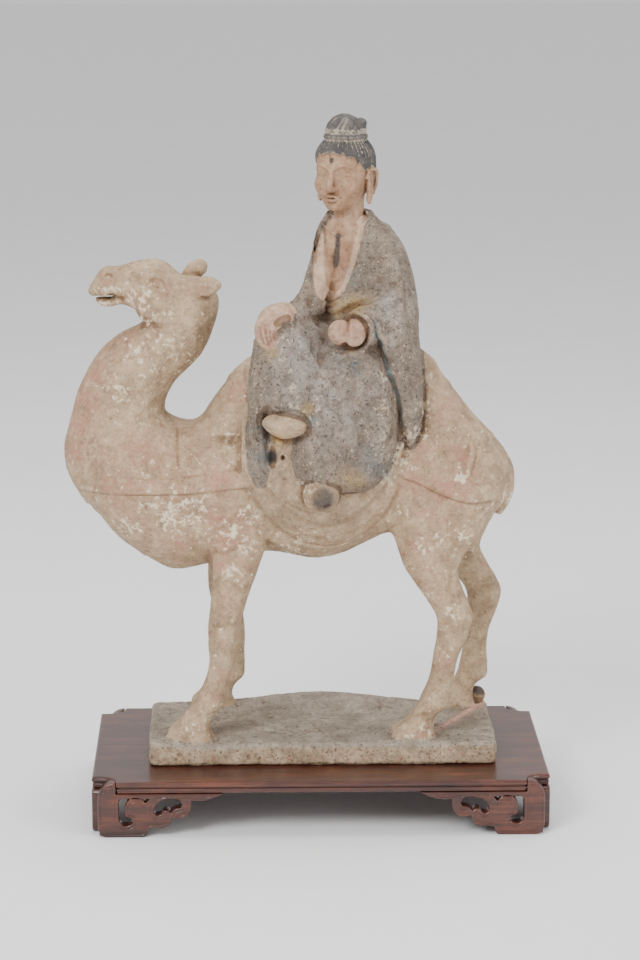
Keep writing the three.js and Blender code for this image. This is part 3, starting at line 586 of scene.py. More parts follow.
# Lines on the camel, on both of its sides: the upright plane they were read in, how wide they
# are, and rows of x, z and height above the skin (negative for a groove).
CAMEL_LINES = [
    (-18, 1.6, [(-123, 382.8, 0.5), (-117.2, 386.9, 1.3), (-111.3, 387.5, 1.4), (-106.7, 382.2, 1.2), (-103.3, 376.3, 0.5)]),
    (-18, 1.2, [(-121.5, 380, -0.3), (-116.5, 383.4, -0.9), (-111.5, 383.2, -0.9), (-107.5, 378.5, -0.5), (-105.5, 373.5, -0.3)]),
    (-18, 1.5, [(-127.9, 362.2, -0.4), (-123.3, 356.3, -1.0), (-116.4, 351.5, -1.4), (-109.4, 350.3, -1.5), (-103.5, 352, -1.5), (-98.8, 357.4, -1.3), (-97.5, 365.6, -1.1), (-99.8, 372.7, -0.4)]),
    (-10, 1.1, [(-153.5, 381, 0.4), (-151.8, 388.2, 0.8), (-145.4, 389.6, 0.9), (-143.1, 385.8, 1.0), (-143.8, 379.9, 0.4)]),
    (-10, 1.2, [(-144.5, 378.5, -0.3), (-141.5, 374.5, -0.8), (-139.5, 370.8, -0.8), (-136, 369, -0.6), (-132.5, 365.5, -0.3)]),
    (-14, 1.5, [(-130.5, 377, 0.3), (-134.5, 373.5, 0.7), (-139, 375, 0.5), (-142, 377, 0.3)]),
    (-13, 1.3, [(-126.5, 372, -0.5), (-129.5, 368, -0.7), (-131.5, 364.5, -0.4)]),
    (-16, 2.0, [(-131, 386, -0.3), (-126, 381, -0.8), (-124, 374, -0.5)]),
    (-20, 1.6, [(-121, 345.5, -0.4), (-113, 343.5, -1.0), (-104, 345, -1.1), (-96, 350, -0.8), (-91.5, 358, -0.4)]),
    (-20, 1.5, [(-88, 346.8, 0.5), (-85.4, 344.6, 1.1), (-86.2, 341.5, 0.6)]),
    (-16, 1.2, [(-79, 350, -0.5), (-76.8, 347.6, -1.2), (-76.5, 345, -0.5)]),
    (-22, 1.2, [(-84, 340, -0.3), (-86.5, 331, -0.9), (-92.5, 322, -0.9), (-97, 317, -0.3)]),
    (-25, 5.5, [(-97, 366, -0.5), (-92, 350, -1.0), (-97, 335, -1.4), (-108, 318, -1.6), (-113, 300, -1.0)]),
    (-25, 1.0, [(-112.6, 284.4, -0.5), (-110.5, 281.5, -1.2), (-108.4, 279.6, -0.5)]),
    (-47, 0.9, [(-99.8, 285, -0.5), (-99.6, 270, -1.0), (-99.2, 253.5, -0.9)]),
    (-47, 0.9, [(-85, 285, 0.4), (-85.1, 270, 0.5), (-85.2, 253.4, 0.4)]),
    (-46, 1.0, [(-165.9, 247.6, -0.4), (-140.4, 248.1, -0.6), (-123.9, 246.7, -0.6), (-99.7, 247.2, -0.8), (-84.4, 249.1, -0.9), (-70.4, 251.6, -0.9), (-51.3, 254.1, -0.7)]),
    (-25, 1.6, [(-66.5, 309.5, -0.5), (-63.9, 313.3, 0.9), (-58.5, 318.8, 0.9), (-52.2, 322.8, 0.4)]),
    (-25, 1.4, [(-60.5, 296, 0.3), (-56.5, 294.5, 0.9), (-53.5, 297.5, 0.6)]),
    (-28, 1.4, [(-57.2, 303.9, 0.5), (-54.6, 306.2, 0.8), (-52.2, 303.7, 0.8), (-54.6, 301.2, 0.6)]),
    (-22, 5.0, [(-47, 305, -0.8), (-58, 290, -0.9), (-72, 284, -0.4)]),
    (-48, 1.5, [(-73, 210.5, 0.4), (-70.6, 213.8, 0.8), (-65.5, 218.5, 1.0), (-60.4, 222.9, 0.9), (-56.5, 217, 0.9), (-52.8, 212.3, 0.5)]),
    (-48, 1.5, [(-77.5, 202, 0.4), (-74.6, 199.3, 1.0), (-66.9, 196.7, 1.2), (-59, 200.5, 1.2), (-51.5, 203.2, 1.1), (-41.3, 209.7, 0.5)]),
    (-48, 1.2, [(-74.6, 195.4, -0.5), (-66.9, 192.8, -0.9), (-59, 196.5, -0.9), (-50.5, 199.2, -0.5)]),
    (-46, 1.2, [(-73.5, 192, 0.4), (-72.6, 185.5, 0.9), (-67, 180.3, 1.0), (-60.5, 181.2, 0.9), (-57, 185, 0.4)]),
    (-46, 1.6, [(-68.8, 190.2, -0.4), (-67, 186.5, -0.9), (-63, 185.6, -0.5)]),
    (-46, 1.2, [(-54, 196, 0.3), (-50.5, 189, 0.9), (-51.5, 181, 0.9), (-55, 176, 0.3)]),
    (-42, 2.0, [(-76, 176, -0.3), (-73.5, 165, -0.8), (-73.5, 150, -0.6), (-74.5, 136, -0.2)]),
    (-42, 2.2, [(-58, 172, -0.3), (-62, 155, -0.8), (-65, 140, -0.8), (-66.5, 128, -0.3)]),
    (-42, 1.4, [(-71, 104, -0.3), (-71.5, 96, -0.7), (-75, 88, -0.6), (-80, 82, -0.2)]),
    (-42, 1.4, [(-74, 76, -0.6), (-82, 73, -0.9), (-90, 72.5, -0.5)]),
    (-38, 1.3, [(-143.6, 218.4, 0.5), (-143.2, 214, 1.0), (-141.2, 210.5, 1.0), (-137.5, 208.5, 0.4)]),
    (-38, 1.3, [(-132.5, 214.5, 0.3), (-130.9, 211.8, 0.9), (-127.4, 208.8, 1.1), (-124.6, 205.2, 1.1), (-125.9, 202.6, 0.5)]),
    (-38, 1.0, [(-134.5, 210.5, -0.3), (-131.5, 206.5, -0.9), (-127.5, 203.5, -0.6)]),
    (-38, 1.3, [(-121.5, 199.5, 0.4), (-119.6, 197.2, 0.9), (-115, 196.6, 1.0), (-110.6, 198.5, 0.5)]),
    (-40, 1.4, [(-118, 189, 0.4), (-111, 185.5, 0.8), (-103, 187.5, 0.5)]),
    (-40, 1.8, [(-148.5, 228, -0.4), (-145, 224, -0.8), (-141.5, 226, -0.4)]),
    (-42, 1.8, [(-134.5, 226.5, -0.5), (-132, 223.5, -1.0), (-128, 221, -0.6)]),
    (-42, 2.0, [(-124.5, 215, -0.4), (-121, 210, -1.0), (-118, 207.5, -0.5)]),
    (-45, 3.0, [(-92, 232, -0.4), (-90, 216, -1.0), (-86, 204, -1.0), (-84, 192, -0.5)]),
    (-42, 3.6, [(70, 186, 0.4), (77.9, 190.5, 1.2), (89.1, 198, 1.5), (101.8, 202.4, 1.3), (110.2, 209.5, 0.6)]),
    (-42, 1.6, [(84, 190, -0.3), (93, 194.5, -1.0), (104, 198.5, -1.0), (111, 205, -0.4)]),
    (-42, 1.8, [(79.4, 183.6, -0.4), (78.4, 179.4, -1.5), (79.4, 175, -0.4)]),
    (-44, 4.0, [(55, 240, -0.4), (53.5, 222, -1.4), (57, 205, -1.2), (63, 192, -0.4)]),
    (-42, 3.0, [(95, 218, 0.3), (88, 207, 0.8), (76, 200, 0.6)]),
    (-42, 2.0, [(95, 180, -0.4), (92, 166, -1.0), (95, 152, -0.9), (98, 138, -0.5)]),
    (-42, 1.6, [(86, 150, -0.3), (88, 136, -0.7), (86.5, 118, -0.6), (83.5, 102, -0.3)]),
    (-42, 1.4, [(84, 76, -0.5), (76, 73.5, -0.9), (68, 72.5, -0.5)]),
    (-34, 1.5, [(106, 275.4, -0.3), (104.7, 263.9, -1.0), (102, 249.5, -1.3), (101.3, 242.3, -0.6)]),
    (-33, 1.6, [(109.5, 276, 0.3), (107.6, 262, 0.9), (104.8, 248, 0.9), (103.4, 243, 0.4)]),
    (-33, 1.2, [(111.7, 268.2, -0.3), (110.4, 258.1, -1.0), (107.7, 246.6, -1.2), (104.9, 240.8, -0.6)]),
    (-30, 1.2, [(105.1, 238.9, -0.5), (113.6, 238.5, -0.9), (122.1, 240.4, -0.9), (127.7, 242.6, -0.5)]),
    (-30, 1.6, [(84, 318, 0.3), (87, 313.5, 0.9), (91.5, 311.5, 0.5)]),
    (-32, 1.6, [(78, 305, 0.3), (82, 300, 0.9), (87.5, 298.5, 0.5)]),
    (-34, 1.8, [(90, 300, 0.3), (95, 295, 0.8), (100.5, 292.5, 0.4)]),
    (-38, 3.2, [(86, 288, -0.3), (92, 272, -0.9), (92, 258, -0.5)]),
    (-38, 2.6, [(68, 296, 0.3), (76, 281, 0.8), (80, 266, 0.8), (78, 252, 0.3)]),
]

# Edges where the upper side, or the side to the right of a downward line, lies over the other.
CAMEL_EDGES = [
    (-45, 9, [(-167.3, 239.8, 1.3), (-153.3, 237.1, 1.5), (-136.8, 235.7, 1.6), (-121.5, 235.6, 1.7), (-107.5, 235.5, 1.7), (-89.6, 236.1, 1.7), (-76.9, 237.3, 1.6), (-64.1, 239.2, 1.6), (-51.3, 240.4, 1.5), (-46, 241.9, 1.4)]),
    (-48, 7, [(-81, 232, 0.5), (-82, 222, 1.3), (-81.1, 207.3, 1.0), (-78, 198, 0.4)]),
    (-45, 8, [(-52.8, 324, 0.8), (-49.4, 302.7, 1.2), (-47.8, 279, 1.4), (-50.2, 252.8, 1.2)]),
    (-35, 9, [(50, 251, 0.8), (59.5, 244.4, 1.4), (70.8, 240, 1.6), (85, 232.7, 1.8), (96.4, 228.3, 1.8), (106.3, 226.1, 1.7), (119, 227.4, 1.6), (127.5, 228.1, 1.3)]),
]

# Locks of fur down the neck, chest and humps: x, z, length, and the way they point in degrees.
LOCKS = [
    (-143, 334, 8, 215), (-149, 326, 8, 225), (-139, 324, 7, 215), (-155, 316, 9, 235), (-146, 314, 8, 230),
    (-162, 306, 9, 245), (-152, 302, 8, 240), (-166, 295, 8, 255), (-157, 291, 8, 250), (-169, 284, 9, 262),
    (-161, 279, 8, 258), (-171, 272, 8, 268), (-164, 267, 8, 262), (-170, 260, 7, 272), (-155, 270, 7, 262),
    (-136, 333, 6, 205), (-147, 291, 6, 250), (-167, 232, 7, 285), (-160, 226, 7, 295), (-153, 219, 7, 300),
    (-147, 210, 7, 305), (-138, 201, 8, 315), (-128, 193, 8, 325), (-117, 186, 8, 340), (-104, 182, 8, 355),
    (-92, 184, 7, 10), (-66, 316, 6, 235), (-60, 322, 6, 230), (-64, 305, 6, 245), (80, 322, 6, 305),
    (87, 306, 6, 310), (95, 296, 6, 310), (75, 314, 6, 290),
]


def mirrored(path):
    """The same path on the camel's other side, run the other way so that its left stays its left."""
    return (path * [1, -1, 1, 1])[::-1]


def lock(field, x, z, length, way, dice):
    """A comma-shaped lock of fur: a raised crescent with a groove inside its bend."""
    heading = math.radians(way) + np.linspace(0.55, -0.75, 6) * dice.choice([-1, 1])
    step = length / 5
    places = np.cumsum(np.stack([np.cos(heading), np.sin(heading)], -1) * step, axis=0) + [x, z]
    height = np.sin(np.linspace(0.15, math.pi - 0.1, 6)) * dice.uniform(0.8, 1.15)
    inward = np.stack([-np.sin(heading), np.cos(heading)], -1) * dice.choice([-1, 1]) * 2.3
    ridge = field.seen(np.column_stack([places, height]), -30)
    groove = field.seen(np.column_stack([places + inward, -0.9 * height]), -30)
    for path, width in ((ridge, 1.5), (groove, 1.1)):
        field.relief(path, width, 3)
        field.relief(mirrored(path), width, 3)


def camel_details(field):
    dice = np.random.default_rng(5)
    for plane, width, rows in CAMEL_LINES:
        path = field.seen(rows, plane)
        field.relief(path, width)
        field.relief(mirrored(path), width)
    for plane, spread, rows in CAMEL_EDGES:
        path = field.seen(rows, plane)
        field.layer(path, spread)
        field.layer(mirrored(path), spread)
    for x, z, length, way in LOCKS:
        lock(field, x, z, length, way, dice)
    # A small coil of fur on the neck.
    turns = np.linspace(0, 2 * math.pi, 9)
    coil = field.seen([(-122.3 + 5.2 * math.cos(a), 335.6 + 3.7 * math.sin(a), 0.9) for a in turns], -22)
    hollow = field.seen([(-124.5, 335.4, -0.9), (-120, 335.8, -0.9)], -22)
    for path, width in ((coil, 1.1), (hollow, 1.6)):
        field.relief(path, width)
        field.relief(mirrored(path), width)
    # Ribs in the fur under the chest.
    for i in range(8):
        x = -108.5 + i * 2.5
        rib = field.seen([(x, 204.5, 0.2), (x + 0.4, 200.5, 0.9), (x + 1.2, 197.5, 0.2)], -42)
        field.relief(rib, 0.75)
        field.relief(mirrored(rib), 0.75)
    # Eyes and their lids, the nostrils, and the gap between the lips.
    for side in (-1, 1):
        eye = field.seen([(-116, 378.4)], -18)[0] * [1, -side, 1]
        eye[1] -= side * 1.6
        field.add_oval(eye, (3.7, 3.1, 3.0), 0.6)
        upper = field.seen([(-120.8, 377.6, 0.7), (-118.6, 380.3, 0.9), (-115.4, 381, 0.9), (-112.4, 379.4, 0.8), (-110.8, 377.2, 0.5)], -19)
        lower = field.seen([(-120.8, 377.4, 0.5), (-118, 375.5, 0.7), (-114.4, 375.3, 0.7), (-111.2, 377, 0.5)], -19)
        slit = field.seen([(-119.2, 378.2, 0.45), (-116, 378.9, 0.55), (-112.6, 378.3, 0.45)], -19.5)
        nostril = field.seen([(-150.3, 385.3, 0.7), (-147.8, 387, 1.0), (-145.4, 385.2, 0.8)], -11)
        for path, cut in ((upper, False), (lower, False), (slit, True), (nostril, True)):
            path = path * [1, -side, 1, 1]
            field.add_tube(path, 0.5, cut)
        field.add_oval((-147, side * 10.5, 369.5), (4.4, 7, 1.2), 0.4, cut=True)
        field.add_oval((-151.5, side * 9.5, 372.5), (3.5, 3.2, 2.4), 2.5)
    # The tail lies over the rump.
    tail = [(119, 0, 268, 4.5), (127, 0, 256, 6.2), (132.6, 0, 243, 7), (133.2, 0, 230, 6.8), (131, 0, 219, 5.5), (128, 0, 211, 3.2)]
    field.add_mesh(loft(path_rings(tail, 0.95), 5), 1.2)
    for side in (-1, 1):
        for shift in (0, 3.4):
            strand = [(128 + shift, side * 6, 250, -0.4), (131 + shift, side * 6.4, 238, -0.8), (131 + shift, side * 6, 224, -0.4)]
            field.relief(np.array(strand), 0.9)


# Ground slab
def slab_top(x, y):
    """Height of the slab's upper face: a rise along the back and a worn dip along the front."""
    rise = 8.2 * np.exp(-(((x - 2) / 58) ** 2)) * ease(y, 2, 56)
    dip = -2.2 * np.exp(-(((x + 72) / 22) ** 2)) * ease(-y, 36, 58)
    corner = 1.6 * np.exp(-(((x + 118) / 16) ** 2)) * ease(-y, 20, 50)
    return SLAB_Z[1] + rise + dip + corner - 1.2 * ease(y, 20, 55)


def slab_form(field):
    slices, x, y, z = field.window((SLAB_X[0] - 8, SLAB_Y[0] - 8, 34), (SLAB_X[1] + 8, SLAB_Y[1] + 8, 80))
    top = slab_top(x, y)
    wobble = 0.9 * np.sin(x / 17 + 1) * np.sin(z / 9) + 0.6 * np.sin(y / 13)
    half_x, half_y = (SLAB_X[1] - SLAB_X[0]) / 2, (SLAB_Y[1] - SLAB_Y[0]) / 2
    round_edge = 3.2
    from_x = np.abs(x - sum(SLAB_X) / 2) - half_x + 6 + wobble * 0.4
    from_y = np.abs(y - sum(SLAB_Y) / 2) - half_y + 6 + wobble * 0.4
    plan = np.hypot(np.maximum(from_x, 0), np.maximum(from_y, 0)) + np.minimum(np.maximum(from_x, from_y), 0) - 6
    tall = np.maximum(z - top, SLAB_Z[0] - z)
    a, b = plan + round_edge, tall + round_edge
    box = np.hypot(np.maximum(a, 0), np.maximum(b, 0)) + np.minimum(np.maximum(a, b), 0) - round_edge
    field.merge(slices, box.astype(np.float32), 2.5)


# Saddle cloth and rider
def saddle_form():
    field = Field(COARSE, LOW, HIGH)
    cloth = [
        # front to back sections of the cover over the flanks
        ((-55, 232), (-55, 292), 49.5),
        ((-45, 208), (-45, 300), 52.5),
        ((-25, 198), (-25, 306), 54),
        ((0, 195.5), (0, 306), 54),
        ((25, 199), (25, 304), 53),
        ((45, 216), (45, 302), 51),
        ((58, 240), (58, 298), 47),
    ]
    field.add_mesh(loft([side_ring(low, high, 0, half, 2.6) for low, high, half in cloth]))
    return field


def robe_form():
    field = Field(COARSE, LOW, HIGH)
    torso = [
        flat_ring(21, -9, 431, 15, 11),
        flat_ring(22.5, -9, 424, 20.5, 15),
        flat_ring(24.5, -9, 414, 26.5, 19.5),
        flat_ring(26.5, -9, 403, 30, 22),
        flat_ring(28, -8, 390, 32.5, 23.5),
        flat_ring(29, -8, 376, 35, 25.5),
        flat_ring(30, -7, 360, 38, 28.5),
        flat_ring(31, -5, 340, 40, 33),
        flat_ring(32, -1, 318, 43, 40),
        flat_ring(33, 2, 296, 46, 47),
        flat_ring(33, 3, 276, 44, 49),
        flat_ring(32, 3, 260, 34, 48),
    ]
    field.add_mesh(loft(torso))
    panel = [
        flat_ring(41, -10, 420, 8, 10),
        flat_ring(48.5, -13, 404, 12, 15),
        flat_ring(53, -17, 385, 13.5, 19),
        flat_ring(54, -22, 366, 15, 23),
        flat_ring(54, -27, 347, 15.5, 25.5),
        flat_ring(57.5, -29, 327, 13.5, 25.5),
        flat_ring(62, -29, 304, 10.5, 24),
        flat_ring(63.5, -29, 284, 8.5, 21),
        flat_ring(62.5, -29, 268, 6, 15),
    ]
    field.add_mesh(loft(panel), 6)
    near_arm = [(10, -13, 416, 8.5), (5.8, -17, 402, 10.5), (1.5, -24, 387, 10.8), (-4.5, -33, 373, 10.6), (-14, -41, 363, 10.2), (-21, -45, 360, 9.5)]
    field.add_mesh(loft(path_rings(near_arm)), 3.5)
    forearm = [(56, -20, 364, 15), (44, -33, 359, 15), (33, -44, 355, 14.5), (26, -51, 352.5, 13.5)]
    field.add_mesh(loft(path_rings(forearm)), 5)
    thigh = [(16, -8, 318, 24), (-1, -22, 334, 22), (-17, -37, 347, 18.5), (-27, -45, 351, 14.5)]
    field.add_mesh(loft(path_rings(thigh)), 6)
    shin = [
        flat_ring(-26, -44, 360, 12, 12),
        flat_ring(-25, -44, 348, 18.5, 18.5),
        flat_ring(-23, -42, 331, 23.5, 22.5),
        flat_ring(-21, -40, 313, 27.5, 25.5),
        flat_ring(-19.5, -38.5, 300, 29, 26),
        flat_ring(-19, -37, 292, 26.5, 23.5),
    ]
    field.add_mesh(loft(shin), 5)
    bell = [
        flat_ring(22, -28, 345, 22, 20),
        flat_ring(23.5, -35, 329, 29, 26),
        flat_ring(22.5, -40, 312, 33, 28),
        flat_ring(20.5, -42, 296, 35, 27),
        flat_ring(18.5, -43, 280, 36.5, 25.5),
        flat_ring(16, -44, 264, 36.5, 23.5),
        flat_ring(14, -45, 252, 32.5, 20.5),
        flat_ring(13, -46, 244, 26.5, 17),
        flat_ring(12, -46.5, 239, 19, 12.5),
    ]
    field.add_mesh(loft(bell), 6)
    side_panel = [
        flat_ring(-41, -42, 345, 5, 9),
        flat_ring(-43, -45, 325, 6, 12),
        flat_ring(-44, -46, 300, 6.5, 12),
        flat_ring(-43.5, -47, 270, 6.5, 10),
        flat_ring(-42.5, -48, 252, 6, 7.5),
        flat_ring(-41.5, -48.5, 243, 2.5, 4.5),
    ]
    field.add_mesh(loft(side_panel), 3)
    return field


# The rider's robe: folds, seams and edges, read from the front in the same way.
ROBE_LINES = [
    (-35, 1.5, [(-4.7, 408, -0.5), (-5.2, 398, -1.7), (-6.2, 390, -2.2), (-6.7, 378, -2.4), (-7.2, 366, -1.4)]),
    (-35, 2.3, [(-9, 367, 0.5), (-0.2, 363.9, 1.5), (7.7, 364.4, 1.9), (17.7, 368.9, 1.9), (27.6, 371.9, 1.6), (37, 374.5, 0.5)]),
    (-38, 1.6, [(-6, 359.8, -0.8), (4, 359.3, -1.5), (13, 362, -1.4), (24, 366.2, -1.3), (33, 369.2, -0.5)]),
    (-38, 1.3, [(-8, 355, 0.3), (-1, 352.5, 0.9), (5, 348, 0.9), (8.5, 341, 0.3)]),
    (-38, 2.8, [(31.6, 363.8, 0.5), (40.6, 369.3, 1.3), (53.5, 374.8, 0.7), (60, 378, 0.3)]),
    (-36, 2.0, [(38, 378, -0.5), (48, 381.5, -1.1), (58, 386, -0.5)]),
    (-62, 1.7, [(10.5, 331.5, 0.4), (12.9, 330.7, 1.2), (17.9, 328.7, 2.1), (23.8, 325.2, 2.3), (26.8, 321.7, 2.1), (27, 317, 1.6), (25.8, 311, 0.6)]),
    (-62, 2.5, [(14.5, 327.5, -0.8), (18.5, 324.5, -2.3), (21.5, 320, -2.5), (21.5, 314, -1.5), (20, 308, -0.5)]),
    (-62, 1.7, [(4, 324, 0.4), (8, 321, 1.6), (11.5, 318.5, 1.8), (15.9, 312.7, 1.0)]),
    (-62, 2.2, [(7, 317, -0.9), (10.5, 312.5, -1.9), (11.8, 306, -1.4), (12, 299, -0.5)]),
    (-60, 3.3, [(31, 338, 0.5), (36.7, 332.3, 1.4), (41.7, 322.2, 1.9), (45.2, 307.1, 2.0), (45.3, 292, 2.0), (41.9, 276.8, 1.7), (36, 263.7, 1.2), (29, 256.6, 0.4)]),
    (-61, 3.4, [(29, 322, -0.5), (34.5, 312, -1.2), (36, 298, -1.4), (34.5, 284, -1.2), (30, 272, -0.5)]),
    (-56, 2.2, [(43, 338, -0.4), (49, 322, -1.1), (51.5, 305, -1.2), (51.5, 288, -1.1), (47, 272, -0.5)]),
    (-62, 4.0, [(-10, 342, 0.6), (-3, 330, 1.1), (1, 316, 1.1), (2, 302, 0.6)]),
    (-62, 2.4, [(-22, 338, -0.4), (-27, 324, -0.9), (-29, 308, -0.9), (-28, 298, -0.4)]),
    (-62, 3.0, [(-2, 296, -0.4), (4, 288, -1.0), (6, 276, -0.8), (5, 266, -0.3)]),
    (-62, 2.0, [(16, 300, 0.3), (20, 286, 0.8), (18, 270, 0.8), (12, 256, 0.3)]),
    (-62, 1.6, [(25, 296, -0.3), (28, 282, -0.8), (25, 266, -0.8), (18, 254, -0.3)]),
    (-58, 2.2, [(-16, 260, 0.3), (-8, 250, 0.9), (2, 246.5, 0.6)]),
    (-48, 1.0, [(-43.2, 330, -0.4), (-43, 312, -0.9), (-42.8, 285, -1.0), (-42.4, 262, -0.9), (-41.6, 248, -0.4)]),
    (-48, 0.9, [(-46.4, 300, -0.3), (-46.2, 280, -0.7), (-45.6, 258, -0.4)]),
    (-50, 1.6, [(-37.8, 334, -0.6), (-37.5, 318, -1.3), (-37.2, 300, -1.4), (-36.6, 286, -1.2)]),
    (-50, 0.8, [(-26.1, 261.9, 0.9), (-31.6, 252.8, 0.9), (-37.6, 243.6, 0.7)]),
    (-50, 0.8, [(-26.1, 261.9, 0.9), (-24.1, 259.9, 0.9), (-21.6, 249.6, 0.9), (-14.6, 242.4, 0.9), (-11.6, 238.3, 0.7)]),
    (-48, 1.0, [(-28.6, 235.4, -0.5), (-22.7, 229.2, -1.2), (-12.6, 224, -1.2), (0, 221, -0.8)]),
    (-50, 1.5, [(-38.5, 241.5, -1.0), (-31.7, 233.3, -1.7), (-24.7, 226.1, -1.8), (-17.7, 219.9, -1.8), (-8, 215, -1.6), (4, 213, -1.4), (16, 215.5, -1.5), (27.5, 221.7, -1.8), (34.5, 227.8, -1.8), (41.5, 236, -1.7), (47.4, 244.2, -1.0)]),
    (-50, 2.6, [(-42, 237, 0.5), (-35, 228, 1.3), (-27, 220, 1.4), (-18, 213, 1.4), (-6, 208, 1.4), (6, 206.5, 1.3), (18, 209.5, 1.4), (30, 216, 1.4), (39, 224, 1.4), (46, 234, 1.2), (52, 246, 0.5)]),
    (-50, 1.4, [(-47, 234, -0.6), (-40, 224, -1.4), (-31, 213.5, -1.6), (-20, 205, -1.6), (-6, 200, -1.4), (8, 199, -1.3), (21, 202.5, -1.4), (34, 210, -1.6), (44, 219.5, -1.6), (51, 230, -1.3), (56, 243, -0.6)]),
    (-48, 2.6, [(-47, 222, 0.4), (-38, 209, 1.1), (-26, 199, 1.2), (-10, 193.5, 1.1), (8, 192.5, 1.1), (24, 197, 1.2), (38, 205.5, 1.2), (49, 217, 1.0), (56, 230, 0.4)]),
    (-46, 1.3, [(-45, 212, -0.5), (-36, 200, -1.0), (-22, 191.5, -0.8)]),
    (-42, 1.3, [(77.5, 325, 0.3), (76.5, 318.5, 0.9), (75.6, 303.2, 1.1), (67.8, 282.9, 1.2), (57.8, 267.6, 1.2), (52.9, 254.3, 0.7)]),
    (-42, 1.1, [(79, 302, 0.3), (75.7, 290.2, 0.9), (66, 274.5, 1.0), (57.7, 257.4, 1.0), (47.9, 241.6, 0.6)]),
    (-42, 1.6, [(74, 292, -0.4), (67.5, 278, -1.0), (59, 263, -1.0), (51, 249, -0.6)]),
    (-30, 1.6, [(56.5, 398, -0.4), (60, 380, -1.0), (61.5, 360, -1.0), (63, 342, -0.5)]),
    (-30, 2.4, [(52, 404, 0.4), (56, 386, 0.9), (57.5, 366, 0.9), (58, 348, 0.4)]),
    (-40, 1.6, [(58.5, 346, -0.4), (61.5, 328, -1.1), (64.5, 306, -1.1), (65, 288, -0.5)]),
    (-40, 2.0, [(56, 340, 0.4), (58, 322, 1.0), (61, 302, 1.0), (61.5, 286, 0.4)]),
    (-34, 2.6, [(36, 417, -0.3), (41, 404, -0.8), (42, 390, -0.5)]),
    (-30, 1.6, [(31.5, 423, 0.6), (33.8, 428, 1.2), (36.5, 432.5, 1.2), (38, 436, 0.5)]),
    (-28, 1.4, [(0.5, 425, 0.6), (-2, 417.5, 1.0), (-3.4, 408, 1.0), (-4.4, 395, 0.9), (-3.6, 380, 0.9), (-0.8, 372.2, 0.7)]),
]

# From behind: long soft folds down the rider's back, and the cover and fur below them.
BACK_LINES = [
    (2.6, [(8, 412, -0.4), (2, 392, -1.1), (-4, 366, -1.2), (-8, 342, -0.5)]),
    (3.0, [(16, 414, 0.4), (11, 392, 1.1), (6, 364, 1.3), (1, 334, 1.1), (-2, 306, 0.5)]),
    (2.4, [(26, 418, -0.4), (23, 396, -1.2), (18, 366, -1.4), (13, 334, -1.2), (10, 304, -0.5)]),
    (3.0, [(34, 416, 0.4), (34, 392, 1.1), (31, 362, 1.3), (27, 330, 1.1), (25, 300, 0.5)]),
    (2.4, [(43, 410, -0.4), (44, 388, -1.2), (43, 360, -1.4), (40, 330, -1.2), (38, 298, -0.5)]),
    (2.6, [(52, 400, 0.3), (54, 380, 1.0), (54, 354, 1.0), (51, 322, 0.4)]),
    (2.0, [(-4, 372, 0.3), (10, 362, 1.0), (28, 359, 1.2), (46, 363, 1.0), (58, 371, 0.3)]),
    (1.6, [(-6, 366, -0.3), (10, 356, -1.0), (28, 353, -1.1), (46, 357, -1.0), (58, 365, -0.3)]),
    (2.2, [(-16, 300, -0.5), (-19, 284, -1.2), (-16, 268, -0.6)]),
    (2.2, [(60, 300, -0.5), (66, 282, -1.2), (66, 266, -0.6)]),
    (1.5, [(-43, 246, -0.6), (-36, 232, -1.6), (-24, 220, -1.8), (-8, 213, -1.7), (8, 212, -1.7), (26, 218, -1.8), (40, 230, -1.6), (50, 246, -0.6)]),
    (2.6, [(-48, 240, 0.4), (-40, 226, 1.3), (-26, 213, 1.4), (-8, 206, 1.4), (10, 205, 1.4), (30, 212, 1.4), (44, 225, 1.2), (54, 242, 0.4)]),
    (1.4, [(-50, 230, -0.6), (-40, 216, -1.4), (-26, 205, -1.5), (-8, 199, -1.4), (10, 198, -1.4), (30, 205, -1.5), (46, 218, -1.3), (57, 236, -0.6)]),
]

CHEST_OPENING = [
    (1, 430), (-2.2, 418), (-3.6, 410), (-4.4, 400), (-4.7, 391), (-4.2, 382), (-2.4, 375), (2, 371), (8, 370.8), (13.5, 373),
    (18, 378.6), (21.2, 386), (24.6, 395), (27, 404), (29.2, 413), (31.5, 422), (33, 431), (24, 436), (10, 435),
]
INNER_OPENING = [
    (4, 428), (3, 413), (2.9, 404), (3.3, 395), (3.9, 387), (5.4, 380.5), (9.8, 377), (13.8, 379), (17, 385), (20, 394), (22.6, 404),
    (24.6, 414), (26.5, 424), (16, 430),
]


